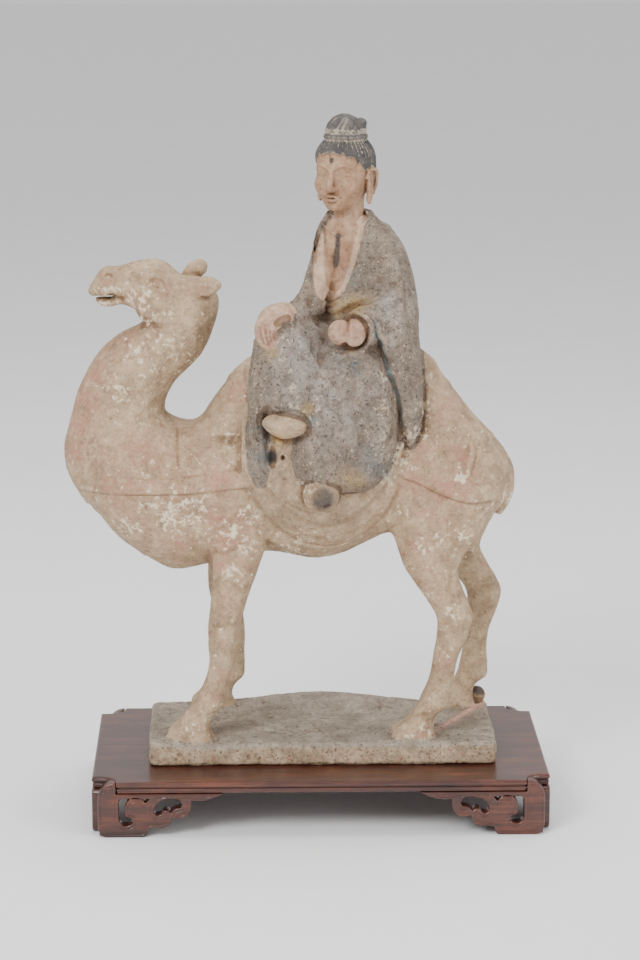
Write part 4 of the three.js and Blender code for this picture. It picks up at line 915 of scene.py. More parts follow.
def rider_details(field):
    # The robe's open front, one step down to the inner border and one more to the chest.
    field.stamp(CHEST_OPENING, -35, -2.4, 1.0, (-60, -12))
    field.stamp(INNER_OPENING, -35, -1.0, 1.0, (-60, -12))
    inner_fold = field.seen([(6.7, 386, 0.4), (8.7, 385, 0.8), (12.7, 386.5, 1.0), (16.6, 391, 1.0), (18.8, 398, 0.9), (20.4, 406, 0.4)], -33)
    field.relief(inner_fold, 1.0)
    for plane, width, rows in ROBE_LINES:
        field.relief(field.seen(rows, plane), width)
    for width, rows in BACK_LINES:
        field.relief(field.behind(rows), width)
    # The long sleeve on the right lies over the lap with a sharp hem.
    hem = [(36.5, 359, 0.8), (37.9, 355.5, 1.4), (39.5, 348.5, 1.8), (43.5, 340.4, 2.0), (46, 328.2, 2.0), (47.5, 321.1, 2.0), (51.6, 314, 2.0), (54.6, 304.9, 1.8), (56.5, 294, 1.6), (57.5, 284, 1.2), (58, 276, 0.6)]
    field.layer(field.seen(hem, -42), 7)
    for plane, width, rows in ((-42, 1.0, [(40.5, 338, -0.6), (42.8, 328, -1.3), (44.5, 318, -1.5), (48, 310, -1.4), (51, 300, -1.0), (53, 290, -0.5)]),):
        field.relief(field.seen(rows, plane), width)
    # Necklace with two beads and a pendant.
    cord = [(1.5, 425, 0.7), (4.7, 422, 0.8), (7.7, 419, 0.9), (10.7, 417.5, 0.9), (15.6, 417, 0.9), (19.6, 416.9, 0.9), (24.5, 418.9, 0.9), (29.5, 422.9, 0.9), (33, 427.5, 0.8)]
    field.add_tube(field.seen(cord, -34), 0.3)
    for x, z, radii in ((12.9, 416.4, (2.1, 1.9, 2.1)), (12.5, 411.2, (1.5, 1.5, 1.9)), (12.1, 406.5, (1.0, 1.2, 2.4)), (11.5, 400.6, (1.8, 1.8, 4.3))):
        field.add_oval(field.seen([(x, z)], -34)[0], radii, 0.2)
    field.add_oval(field.seen([(11.1, 395.6)], -34)[0], (0.9, 1.2, 2.4), 0.4)


def hands_and_shoes(field):
    # The hand on the knee, with its fingers hanging over the edge.
    palm = [(-17, -45, 361.5, 7.5), (-25, -50, 363, 9.3), (-32.5, -53.5, 361, 9.8), (-37.5, -56, 354, 8.4), (-38.2, -57, 346.5, 6.2), (-37, -57, 341.5, 3.6)]
    field.add_mesh(loft(path_rings(palm, 1.0), 5), 1.0)
    for rows in (
        [(-42.6, 358.8, -0.5), (-41.6, 351.8, -1.0), (-38.9, 343.5, -0.7)],
        [(-39.4, 361.8, -0.5), (-37.6, 351.8, -1.1), (-35.6, 343, -0.8)],
        [(-36, 358.8, -0.5), (-34.2, 349.8, -1.1), (-32.8, 343.5, -0.7)],
        [(-33.4, 354.8, -0.4), (-31.9, 348.8, -0.8), (-31, 345, -0.4)],
    ):
        field.relief(field.seen(rows, -58), 0.75)
    for rows in (
        [(-41, 360.3, 0.3), (-39.6, 352, 0.8), (-37.3, 344, 0.5)],
        [(-37.7, 360.3, 0.3), (-35.9, 351, 0.9), (-34.2, 343.5, 0.5)],
        [(-34.7, 356.8, 0.3), (-33, 349.5, 0.7), (-31.9, 344.5, 0.4)],
    ):
        field.relief(field.seen(rows, -58), 0.9)
    hollow = field.seen([(-29.5, 358.2, 2.2), (-25.5, 359.8, 3.0), (-22, 361.5, 2.0)], -54)
    field.add_tube(hollow, 1.6, cut=True)
    for width, rows in (
        (1.3, [(-31.5, 369.5, 0.5), (-28.5, 371, 1.2), (-24.6, 369.6, 1.5), (-21.2, 365.6, 1.5), (-19.2, 360.4, 1.4), (-19.2, 354.8, 0.6)]),
        (1.2, [(-26.3, 371.9, 0.4), (-19.4, 368.9, 1.1), (-15.5, 361, 1.1), (-14.8, 354, 0.5)]),
        (1.0, [(-22.4, 370.6, -0.4), (-17.8, 366.4, -0.9), (-16.6, 360, -0.9), (-17, 355, -0.4)]),
        (1.3, [(-43, 372, 0.2), (-38, 374.3, 0.4), (-30, 374.6, 0.6), (-20, 372.5, 0.6), (-14, 369.8, 0.3)]),
    ):
        field.relief(field.seen(rows, -50), width)
    # The other hand, broken off at the wrist, with a dowel hole and the cuff round it.
    field.add_oval((13.5, -58, 352.5), (8.6, 7.5, 8.8), 1.2, lean=0.2)
    field.add_oval((23.2, -57.5, 352), (8.2, 8.5, 9.4), 1.0)
    notch = field.seen([(18.6, 361.5, -0.5), (19.2, 357.5, -1.1), (18.2, 352.5, -0.8), (16.5, 349, -0.3)], -62)
    field.relief(notch, 1.0)
    field.add_oval((19.5, -70.5, 350.5), (9.5, 5.2, 7.5), 1.0, cut=True)
    dowel = np.array([(16.4, -76, 341.9, 2.3), (16.7, -52, 345.5, 2.3)])
    field.add_tube(dowel, 0.3, cut=True)
    cuff = field.seen([(26.5, 363.5, 0.9), (31.6, 361.4, 1.5), (35, 357.2, 1.7), (35.2, 348.1, 1.7), (31.5, 341.5, 1.7), (26.2, 337.8, 1.5), (20.5, 336.6, 0.9)], -50)
    field.add_tube(cuff, 1.6)
    # The shoe under the raised hem, pointing towards the camel's head.
    shoe = [
        side_ring((-5, 284.5), (-5, 291.5), -50, 6),
        side_ring((-10, 281.3), (-10, 292), -54.5, 8.5),
        side_ring((-18, 278.8), (-18, 294), -58, 9),
        side_ring((-26, 278.3), (-26.5, 295.6), -60.5, 8.8),
        side_ring((-33, 281), (-33.5, 295.8), -61.5, 7.6),
        side_ring((-38.3, 285.2), (-38.8, 293.4), -62, 5.6),
        side_ring((-41, 288.3), (-41, 290.9), -62, 2.6),
    ]
    field.add_mesh(loft(shoe, 5), 0.6)
    sole = field.seen([(-39.5, 288, -0.4), (-33, 284.2, -0.9), (-25, 282.6, -1.0), (-16, 283.4, -1.0), (-9.5, 286.6, -0.6)], -62)
    field.relief(sole, 0.8)
    seam = field.seen([(-34, 294.2, -0.3), (-26, 291.6, -0.7), (-18, 289.3, -0.7), (-13, 286.5, -0.4)], -62)
    field.relief(seam, 0.8)
    lining = field.seen([(-31.5, 297, 0.6), (-27.6, 297.6, 1.2), (-18.7, 299.6, 1.5), (-12.7, 298, 1.6), (-7.4, 292.8, 1.5), (-4.9, 285.2, 1.2), (-6.5, 279.5, 0.6)], -58)
    field.add_tube(lining, 1.0)
    # Below it: a dark recess, a small block of clay, and a hole at the peak of the cover.
    field.add_oval(field.seen([(-33.3, 263)], -50)[0], (2.4, 4.5, 8.0), 1.5, cut=True)
    field.add_oval(field.seen([(-28.7, 274.6)], -50)[0] + [0, 1, 0], (3.6, 4.5, 4.2), 0.8)
    field.add_oval(field.seen([(-26.0, 262.2)], -50)[0], (1.5, 5.0, 1.9), 0.3, cut=True)
    # The toe of the hanging foot, with two broken places.
    toe = [
        flat_ring(0.5, -56, 247, 8, 8),
        flat_ring(0.6, -60, 241.5, 12, 12),
        flat_ring(0.4, -61, 235, 12, 12.5),
        flat_ring(0, -60, 229.5, 9.5, 10.5),
        flat_ring(0, -58, 226.6, 5.5, 6.5),
    ]
    field.add_mesh(loft(toe, 4), 0.8)
    field.add_oval(field.seen([(1.4, 239.8)], -70)[0] + [0, -1.6, 0.8], (5.4, 2.6, 3.0), 0.4, cut=True)
    field.add_oval(field.seen([(6.2, 232.0)], -70)[0] + [0, -1.2, 0], (4.4, 2.2, 2.0), 0.4, cut=True)
    field.relief(field.seen([(-11.7, 236, -0.4), (-6, 231.5, -0.9), (2, 229.5, -0.9), (9, 231.5, -0.4)], -66), 0.9)


def slab_details(field):
    # A crack filled with plaster runs from the near hind foot to the back corner.
    crack = np.array([(72, -50), (77, -40), (83, -31), (92, -14), (103, 6), (113, 25), (124, 46)], float)
    heights = slab_top(crack[:, 0], crack[:, 1])
    path = np.column_stack([crack, heights, [0.3, 0.5, 0.9, 1.3, 1.6, 1.8, 1.6]])
    field.relief(path, 2.6)
    field.relief(path * [1, 1, 1, -0.8] + [1.5, 0, 0.5, 0], 0.8)
    field.add_oval((118, 49, 61.5), (7.5, 5.5, 6.5), 2.0, turn=0.4)
    field.add_oval((112, 51, 66.5), (3.2, 3.0, 3.2), 1.0)
    dice = np.random.default_rng(11)
    for _ in range(46):
        x = dice.uniform(SLAB_X[0] + 4, SLAB_X[1] - 4)
        size = dice.uniform(1.5, 4.2)
        low = dice.random() < 0.65
        z = SLAB_Z[0] + dice.uniform(-0.6, 0.8) if low else slab_top(x, SLAB_Y[0])
        side = SLAB_Y[0] if dice.random() < 0.6 else SLAB_Y[1]
        field.add_oval((x, side, z), (size * 1.8, size * 0.45, size * 0.5), 0.8, cut=True)
    for _ in range(26):
        y = dice.uniform(SLAB_Y[0] + 4, SLAB_Y[1] - 4)
        size = dice.uniform(1.5, 4.0)
        x = SLAB_X[dice.integers(2)]
        z = SLAB_Z[0] if dice.random() < 0.6 else slab_top(x, y)
        field.add_oval((x, y, z), (size * 0.45, size * 1.8, size * 0.5), 0.8, cut=True)
    # Low swells and hollows left by the maker's hand round the feet.
    for x, y, height in ((-92, -44, 1.0), (-75, 38, 0.8), (68, -44, 1.0), (100, 38, 0.8), (-20, -20, -0.9), (30, 0, 0.8), (-60, 0, -0.6)):
        place = np.array([(x - 9, y, slab_top(x, y), height), (x + 9, y, slab_top(x, y), height)], float)
        field.relief(place, 9)


def carve_figure():
    saddle = saddle_form()
    robe = robe_form()
    field = camel_form().finer()
    slab_form(field)
    hooves(field, -107, -77, -42)
    hooves(field, -91, -61, 40)
    hooves(field, 53, 81, -42)
    hooves(field, 86.5, 114.5, 40)
    camel_head(field)
    camel_ears(field)
    camel_details(field)
    slab_details(field)
    whole = tuple(slice(0, n) for n in field.values.shape)
    field.merge(whole, saddle.finer().values, 3)
    field.merge(whole, robe.finer().values, 1.2)
    rider_details(field)
    hands_and_shoes(field)
    return field, saddle, robe


# Rider's head, in its own frame: x to the rider's left, the face towards -y, z = 0 at the eyes.
HEAD_PLACE = np.array([18.3, -13.0, 458.0])
HEAD_TURN = math.radians(-30)
HAIRLINE = ((0, 14.8), (22, 14.2), (45, 11.5), (65, 6), (80, 1), (92, -1), (108, -6), (130, -12), (155, -16), (180, -17))


def head_level(z, ahead, rx, ry, power=2.1):
    return flat_ring(0, -ahead, z, rx, ry, power)


def above_hairline(x, y, z):
    """Height above the jagged edge of the hair."""
    angle = np.arctan2(x, -y)
    edge = np.interp(np.degrees(np.abs(angle)), *zip(*HAIRLINE))
    return z - edge - 0.8 * np.sin(angle * 19) - 0.5 * np.sin(angle * 31 + 1)


def both(rows):
    rows = np.array(rows, float)
    return rows, rows * [-1, 1, 1, 1]


def face_form(head):
    head.add_oval((0, 1, 6), (18.8, 20.3, 18.8))
    levels = [(-25, 9, 5.5, 5), (-22, 7, 10.5, 10.5), (-15, 3.5, 15, 16), (-6, 1.5, 17.6, 18.6), (4, 0.5, 18.6, 19.6), (13, 0, 18.4, 19.4), (20, -0.5, 15, 16), (24, -1, 8, 9)]
    head.add_mesh(loft([head_level(*row) for row in levels]), 1.5)
    neck = [flat_ring(1.2, 3.2, z, r, r) for z, r in ((-46, 13), (-38, 11.6), (-30, 10.7), (-22, 10.4), (-12, 11.5))]
    head.add_mesh(loft(neck), 2.5)
    head.add_oval((0, -17.4, -21.6), (5.2, 3.2, 3.4), 4)
    for side in (-1, 1):
        head.add_oval((side * 9.5, -13.5, -8), (6.5, 5.6, 6.5), 5)
        head.add_oval((side * 7.6, -20.7, 0.4), (6.0, 3.2, 3.7), 3.5, cut=True)
        head.add_oval((side * 7.6, -15.3, -0.6), (4.5, 3.2, 2.9), 0.5)
        head.add_oval((side * 7.7, -15.2, 1.0), (5.0, 3.6, 2.5), 0.5)
        head.add_oval((side * 3.1, -20.9, -9.8), (1.8, 2.3, 1.7), 1.2)
        head.add_oval((side * 1.6, -22.0, -11.8), (0.8, 1.0, 0.6), 0.4, cut=True)
        head.add_oval((side * 6.2, -18.9, -15.7), (0.9, 1.2, 0.7), 0.8, cut=True)
    for path in both([(3.9, -18.0, -0.9, 0.4), (7.6, -19.0, -1.6, 0.5), (11.8, -16.9, -0.4, 0.4)]):
        head.add_tube(path, 0.4, cut=True)
    for path in both([(4.2, -17.9, -2.0, 0.5), (7.6, -18.4, -2.9, 0.7), (11.2, -16.6, -1.7, 0.5)]):
        head.add_tube(path, 0.9)
    for path in both([(3.8, -18.3, 1.8, 0.3), (7.6, -18.9, 3.1, 0.4), (11.9, -16.4, 2.0, 0.3)]):
        head.add_tube(path, 0.4, cut=True)
    for path in both([(2.2, -20.3, 3.8, 0.6), (5, -19.9, 5.8, 0.9), (9, -18.4, 6.8, 1.0), (13.2, -15.2, 5.4, 0.8), (15.6, -12.4, 3.6, 0.4)]):
        head.add_tube(path, 1.6)
    nose = [(0, -19.4, 4.4, 1.7), (0, -20.9, -1, 1.8), (0, -22.4, -6, 2.2), (0, -23.0, -9.3, 2.5)]
    head.add_tube(np.array(nose), 1.8)
    head.relief(np.array([(0, -20.8, -12.4, -0.4), (0, -20.6, -14, -0.5)]), 0.9)
    head.relief(np.array([(-3, -19.4, -19.2, -0.3), (0, -19.9, -19.4, -0.6), (3, -19.4, -19.2, -0.3)]), 1.4)
    upper = [(-5.7, -18.7, -15.6, 0.5), (-3, -20.2, -15.0, 0.9), (-1.1, -20.9, -14.6, 1.0), (0, -20.8, -14.9, 0.9), (1.1, -20.9, -14.6, 1.0), (3, -20.2, -15.0, 0.9), (5.7, -18.7, -15.6, 0.5)]
    lower = [(-4.7, -18.9, -16.6, 0.6), (-2, -20.3, -17.3, 1.2), (0, -20.6, -17.5, 1.3), (2, -20.3, -17.3, 1.2), (4.7, -18.9, -16.6, 0.6)]
    parting = [(-6, -18.9, -15.9, 0.35), (-3, -20.8, -16.0, 0.4), (0, -21.5, -16.1, 0.4), (3, -20.8, -16.0, 0.4), (6, -18.9, -15.9, 0.35)]
    head.add_tube(np.array(upper), 0.7)
    head.add_tube(np.array(lower), 0.8)
    head.add_tube(np.array(parting), 0.3, cut=True)
    head.add_oval((0, -19.6, 10.3), (1.5, 1.0, 1.5), 0.2)


def ear_form(head, side):
    head.add_oval((side * 19.0, 1.4, -6.5), (2.4, 5.2, 10), 1.2, turn=side * 0.3)
    head.add_oval((side * 19.3, -0.4, -16.5), (2.0, 2.8, 4.6), 1.5)
    rim = [(18.6, -3.4, -3, 0.8), (20.3, -2.6, 1.6, 1.1), (21.4, 1.4, 3.4, 1.2), (22.2, 5.2, 1.2, 1.2), (22.0, 5.6, -6, 1.1), (21.0, 2.6, -13.5, 1.0)]
    head.add_tube(np.array(rim) * [side, 1, 1, 1], 0.8)
    head.add_oval((side * 21.6, 1.2, -4.5), (1.7, 2.6, 5.2), 0.9, cut=True)
    head.add_oval((side * 20.6, -2.2, -7.5), (1.4, 1.2, 2.0), 0.6)


def hair_form(head):
    hair = Field(HEAD_CELL, (-28, -30, -47), (28, 30, 46))
    levels = [(-21, -9, 13, 10), (-14, -8, 16, 12.8), (-4, -5.5, 19.6, 16.4), (6, -1.6, 20.8, 21), (14, -0.4, 20.4, 20.9), (20, -0.8, 17.4, 17.6), (25, -1, 13, 13)]
    hair.add_mesh(loft([head_level(*row) for row in levels]))
    slices, x, y, z = hair.window(np.full(3, -99), np.full(3, 99))
    above = above_hairline(x, y, z).astype(np.float32)
    angle = np.arctan2(x, -y)
    comb = np.abs(np.sin(angle * 17 + 0.5 * np.sin(angle * 5) + 0.6 * np.sin(z / 6 + angle * 3)))
    hair.values += (0.95 * (1 - comb) ** 1.5 * ease(above, 0.2, 3.0)).astype(np.float32)
    hair.values = -soft_min(-hair.values, above, 1.6)
    head.merge(slices, hair.values, 0.3)


def bun_form(head):
    bun = [(20, 12.6), (23, 13.4), (23.8, 14.6), (26.4, 14.7), (27.3, 13.6), (28, 12.9), (32, 12.4), (36, 10.2), (39, 6.8), (40.6, 2.6)]
    head.add_mesh(loft([flat_ring(-1.2 * ease(z, 26, 30), 1, z, r, r) for z, r in bun], 6), 0.6)
    head.add_tube(np.array([(14.9 * math.sin(a), 1 - 14.9 * math.cos(a), 27.0, 0.5) for a in np.linspace(0, 2 * math.pi, 25)]), 0.3, cut=True)
    zigzag = [(-1.2 + 12.9 * math.sin(a), 1 - 12.9 * math.cos(a), 29.3 + (0.9 if i % 2 else -0.7), 0.55) for i, a in enumerate(np.linspace(-1.4, 1.9, 17))]
    head.add_tube(np.array(zigzag), 0.4, steps=2)
    head.add_tube(np.array([(9.2, 4.6, 24, 3.9), (9.8, 5.0, 30, 3.8), (9.6, 4.8, 34, 3.9)]), 0.6)
    head.add_oval((9.7, 4.8, 34.5), (4.4, 4.4, 3.6), 0.6, turn=0.5)
    for a in np.linspace(0.3, 2 * math.pi, 9):
        strand = [(-1 + r * math.sin(a + t), 1 - r * math.cos(a + t), z, -0.45) for r, z, t in ((12.7, 30, 0), (10.8, 35, 0.25), (6.5, 39, 0.5))]
        head.relief(np.array(strand), 1.0)


def rider_head():
    head = Field(HEAD_CELL, (-28, -30, -47), (28, 30, 46))
    face_form(head)
    hair_form(head)
    for side in (-1, 1):
        ear_form(head, side)
    bun_form(head)
    return head


def to_head(points):
    """Points of the figure in the head's own frame."""
    c, s = math.cos(HEAD_TURN), math.sin(HEAD_TURN)
    away = points - HEAD_PLACE
    return np.stack([away[:, 0] * c + away[:, 1] * s, -away[:, 0] * s + away[:, 1] * c, away[:, 2]], -1)


def from_head(points):
    c, s = math.cos(HEAD_TURN), math.sin(HEAD_TURN)
    turned = np.stack([points[:, 0] * c - points[:, 1] * s, points[:, 0] * s + points[:, 1] * c, points[:, 2]], -1)
    return turned + HEAD_PLACE


# Stand
STAND_LENGTH = 323.0
STAND_DEPTH = 189.0
STAND_HEIGHT = 40.0
BOARD_THICKNESS = 8.2
NOTCH = (17.5, 14.5)
POST_INSET = (4.5, 11.0)
JOINT_GAP = 0.3
UNDER_BOARD = STAND_HEIGHT - BOARD_THICKNESS - JOINT_GAP


def bend(*points, steps=10):
    """Points along a curve with two ends and one or two handles, without its first end."""
    points = np.array(points, float)[:, None]
    t = (np.arange(1, steps + 1) / steps)[:, None]
    while len(points) > 1:
        points = points[:-1] * (1 - t) + points[1:] * t
    return [tuple(p) for p in points[0]]


def foot_outline(corner, top, leaf_end):
    """One foot seen square on, from the post at x = 0 inwards: its outline and its two openings."""
    under = UNDER_BOARD
    line = [(7.5, 0), (31, 0)]
    line += bend((31, 0), (35.4, 0.3), (35.4, 5.5))
    line += bend((35.4, 5.5), (37, 7), (40, 6.4), (43, 6.4))
    line += bend((43, 6.4), (48.5, 6.4), (52, 10), (52, 14.5))
    line += bend((52, 14.5), (54, 13.6), (56, 13.4), (58, 13.5))
    line += bend((58, 13.5), (63, 14), (65.5, 18), (65.6, 23))
    line += [(65.8, 26.6)]
    line += bend((65.8, 26.6), (65.8 + (leaf_end - 65.8) * 0.4, 24.5), (leaf_end, under))
    if top > under:
        line += [(13, under), (13 - JOINT_GAP, top), (corner - JOINT_GAP, top)]
        line += bend((corner - JOINT_GAP, top), (1, top - 1), (0, top - corner))
    else:
        line += [(corner, under)]
        line += bend((corner, under), (0, under), (0, under - corner))
    line += [(0, 9)]
    line += bend((0, 9), (0, 0), (7.5, 0))
    comma = [(16.5, under - 3.4), (14.7, under - 5.4), (14.7, 13.5)]
    comma += bend((14.7, 13.5), (14.9, 8.6), (20, 8.4))
    comma += bend((20, 8.4), (24.6, 9), (24.3, 12.2))
    comma += bend((24.3, 12.2), (23.5, 14.6), (20.4, 14.6))
    comma += bend((20.4, 14.6), (18.8, 15.4), (18.8, 18))
    comma += bend((18.8, 18), (18.8, 26), (22, 29), (27, 28.8))
    comma += bend((27, 28.8), (31.5, 28.4), (33.4, 24.8))
    comma += [(36.6, under - 3.4)]
    kidney = [(39.4, 17.5)]
    kidney += bend((39.4, 17.5), (42, 14.4), (45, 17.4))
    kidney += bend((45, 17.4), (47.6, 21.6), (51, 17.6))
    kidney += bend((51, 17.6), (54, 21.6), (57.6, 21.2))
    kidney += bend((57.6, 21.2), (61, 22.6), (58, 28.2), (53.4, 27.9))
    kidney += bend((53.4, 27.9), (46, 28.2), (38.5, 25), (39.4, 17.5))
    return line, comma, kidney


def bracket(outlines, along, across, z, thick):
    """Distances to a carved bracket: rounded edges, with a groove behind the rim on its face."""
    shape = np.broadcast_shapes(along.shape, z.shape)
    u, v = np.broadcast_to(along, shape), np.broadcast_to(z, shape)
    whole, comma, kidney = (flat_distance(line, 0.25)(u, v) for line in outlines)
    flat = np.maximum(whole, np.maximum(-comma, -kidney))
    rounding = 1.0
    groove = 0.6 * np.exp(-(((flat + 2.2) / 0.55) ** 2)) * ease(-across, -thick / 2, 0)
    deep = np.abs(across - thick / 2) - thick / 2 + groove
    a, b = flat + rounding, deep + rounding
    return np.hypot(np.maximum(a, 0), np.maximum(b, 0)) + np.minimum(np.maximum(a, b), 0) - rounding


def board_outline(inset, steps=12):
    half = np.array([STAND_LENGTH / 2 - inset, STAND_DEPTH / 2 - inset])
    line = []
    for sx, sy in ((1, -1), (1, 1), (-1, 1), (-1, -1)):
        along_x = (sx * (half[0] - NOTCH[0]), sy * half[1])
        along_y = (sx * half[0], sy * (half[1] - NOTCH[1]))
        inner = (along_x[0], along_y[1])
        ends = (along_x, along_y) if sx * sy < 0 else (along_y, along_x)
        line += [ends[0]] + bend(ends[0], inner, ends[1], steps=steps)
    return line


def make_board():
    """A flat top with a rounded nose, and a groove and a bead along its lower edge."""
    profile = [
        # inset from the edge, height
        (3.0, 31.8), (1.5, 31.9), (1.0, 32.4), (0.9, 33.4), (0.6, 34.0), (0.55, 34.7), (0.9, 35.2), (1.7, 35.5),
        (1.75, 35.9), (0.7, 36.2), (0.25, 36.8), (0, 37.6), (0, 38.3), (0.25, 39.1), (0.8, 39.7), (1.6, 39.95), (2.6, 40),
    ]
    mesh = bmesh.new()
    rows = [[mesh.verts.new((x, y, z)) for x, y in board_outline(inset)] for inset, z in profile]
    count = len(rows[0])
    for low, high in zip(rows[:-1], rows[1:]):
        for i in range(count):
            j = (i + 1) % count
            mesh.faces.new((low[i], low[j], high[j], high[i]))
    mesh.faces.new(rows[0][::-1])
    mesh.faces.new(rows[-1])
    bmesh.ops.triangulate(mesh, faces=mesh.faces)
    mesh.verts.index_update()
    points = np.array([v.co[:] for v in mesh.verts])
    triangles = np.array([[v.index for v in face.verts] for face in mesh.faces])
    mesh.free()
    return points, triangles


def make_foot():
    """The front left foot: a front and a side bracket that meet in the corner post."""
    left, front = -STAND_LENGTH / 2, -STAND_DEPTH / 2
    field = Field(WOOD_CELL, (left - 2, front - 2, -2), (left + 96, front + 92, STAND_HEIGHT + 2))
    slices, x, y, z = field.window(np.full(3, -999), np.full(3, 999))
    x, y, z = (axis.astype(float) for axis in (x, y, z))
    front_part = bracket(foot_outline(13, STAND_HEIGHT, 88.5), x - left - POST_INSET[0], y - front, z, POST_INSET[1])
    side_part = bracket(foot_outline(3.5, 0, 77), y - front - POST_INSET[1], x - left, z, 10)
    inner = np.maximum(
        np.maximum(np.abs(x - left - 9.75) - 4.25, np.abs(y - front - 12) - 10), np.abs(z - UNDER_BOARD / 2) - UNDER_BOARD / 2 + 0.9
    )
    shape = field.values.shape
    for distance in (front_part, side_part, inner):
        field.merge(slices, np.broadcast_to(distance, shape).astype(np.float32), 0.6)
    plan = flat_distance(board_outline(0), 0.5)(np.broadcast_to(x, shape[:2] + (1,)), np.broadcast_to(y, shape[:2] + (1,)))
    room = np.maximum(plan - JOINT_GAP, UNDER_BOARD - z)
    field.merge(slices, np.broadcast_to(room, shape).astype(np.float32), 0.3, cut=True)
    return field.surface()


# Wear: soft swells of hand-modelled clay, and pits where the surface has flaked.
def weathered(points, normals, rough):
    swell = 0.45 * grain(points, 24, 1) + 0.26 * grain(points, 10, 2) + 0.16 * grain(points, 4.6, 3)
    pits = ease(grain(points, 2.7, 4), 0.3, 0.75) * (0.1 + 0.42 * rough)
    flakes = ease(grain(points, 6.5, 5), 0.35, 0.55) * 0.25 * rough
    fine = 0.07 * grain(points, 1.9, 6) * (0.6 + rough)
    return points + normals * (swell * (0.75 + 0.35 * rough) - pits - flakes + fine)[:, None]


def thinned(points, triangles, wanted):
    """Collapses a mesh to about the wanted number of triangles."""
    if len(triangles) <= wanted:
        return points, triangles
    mesh = bpy.data.meshes.new("thin")
    fill_mesh(mesh, points, triangles)
    made = bpy.data.objects.new("thin", mesh)
    bpy.context.scene.collection.objects.link(made)
    modifier = made.modifiers.new("thin", "DECIMATE")
    modifier.ratio = wanted / len(triangles)
    bpy.context.view_layer.update()
    smaller = made.evaluated_get(bpy.context.evaluated_depsgraph_get()).to_mesh()
    flat = np.zeros(len(smaller.vertices) * 3, np.float32)
    smaller.vertices.foreach_get("co", flat)
    corners = np.zeros(len(smaller.polygons) * 3, np.int32)
    smaller.loops.foreach_get("vertex_index", corners)
    bpy.data.objects.remove(made)
    bpy.data.meshes.remove(mesh)
    return flat.reshape(-1, 3).astype(float), corners.reshape(-1, 3)


def fill_mesh(mesh, points, triangles):
    mesh.vertices.add(len(points))
    mesh.vertices.foreach_set("co", np.asarray(points, np.float32).ravel())
    mesh.loops.add(len(triangles) * 3)
    mesh.loops.foreach_set("vertex_index", np.asarray(triangles, np.int32).ravel())
    mesh.polygons.add(len(triangles))
    mesh.polygons.foreach_set("loop_start", np.arange(0, len(triangles) * 3, 3, dtype=np.int32))
    mesh.update(calc_edges=True)
    mesh.validate()


def make_object(name, points, triangles, material, masks=None, smooth=True):
    """A mesh object from millimetre points, placed in the part's own frame."""
    mesh = bpy.data.meshes.new(name)
    fill_mesh(mesh, (points + STAND_MIDDLE) / 1000, triangles)
    mesh.polygons.foreach_set("use_smooth", np.full(len(mesh.polygons), smooth))
    for mask, values in (masks or {}).items():
        layer = mesh.attributes.new(mask, "FLOAT", "POINT")
        layer.data.foreach_set("value", np.asarray(values, np.float32))
    mesh.materials.append(material)
    made = bpy.data.objects.new(name, mesh)
    bpy.context.scene.collection.objects.link(made)
    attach(made, "root")
    return made


def outward(points, triangles):
    """Normals at the points of a mesh."""
    a, b, c = (points[triangles[:, k]] for k in range(3))
    faces = np.cross(b - a, c - a)
    total = np.zeros_like(points)
    for k in range(3):
        for axis in range(3):
            total[:, axis] += np.bincount(triangles[:, k], faces[:, axis], len(points))
    return unit(total)


def hollowness(field, points, normals, reach):
    """How far each point lies in a crease, and how far it stands on a ridge."""
    crease = 1 - field.sample(points + normals * reach) / reach
    ridge = 1 + field.sample(points - normals * reach) / reach
    return np.clip(crease, 0, 1), np.clip(ridge, 0, 1)


def gap_to(points, path):
    """Distance from each point to a path."""
    nearest = np.full(len(points), 1e9)
    for a, b in zip(path[:-1, :3], path[1:, :3]):
        step = b - a
        t = np.clip((points - a) @ step / max(step @ step, 1e-9), 0, 1)
        nearest = np.minimum(nearest, np.linalg.norm(points - a - t[:, None] * step, axis=1))
    return nearest


def as_seen(points, plane):
    """Where points appear in the upright plane y = plane, as seen by the camera."""
    share = (plane - EYE[1]) / (points[:, 1] - EYE[1])
    return EYE[0] + (points[:, 0] - EYE[0]) * share, EYE[2] + (points[:, 2] - EYE[2]) * share


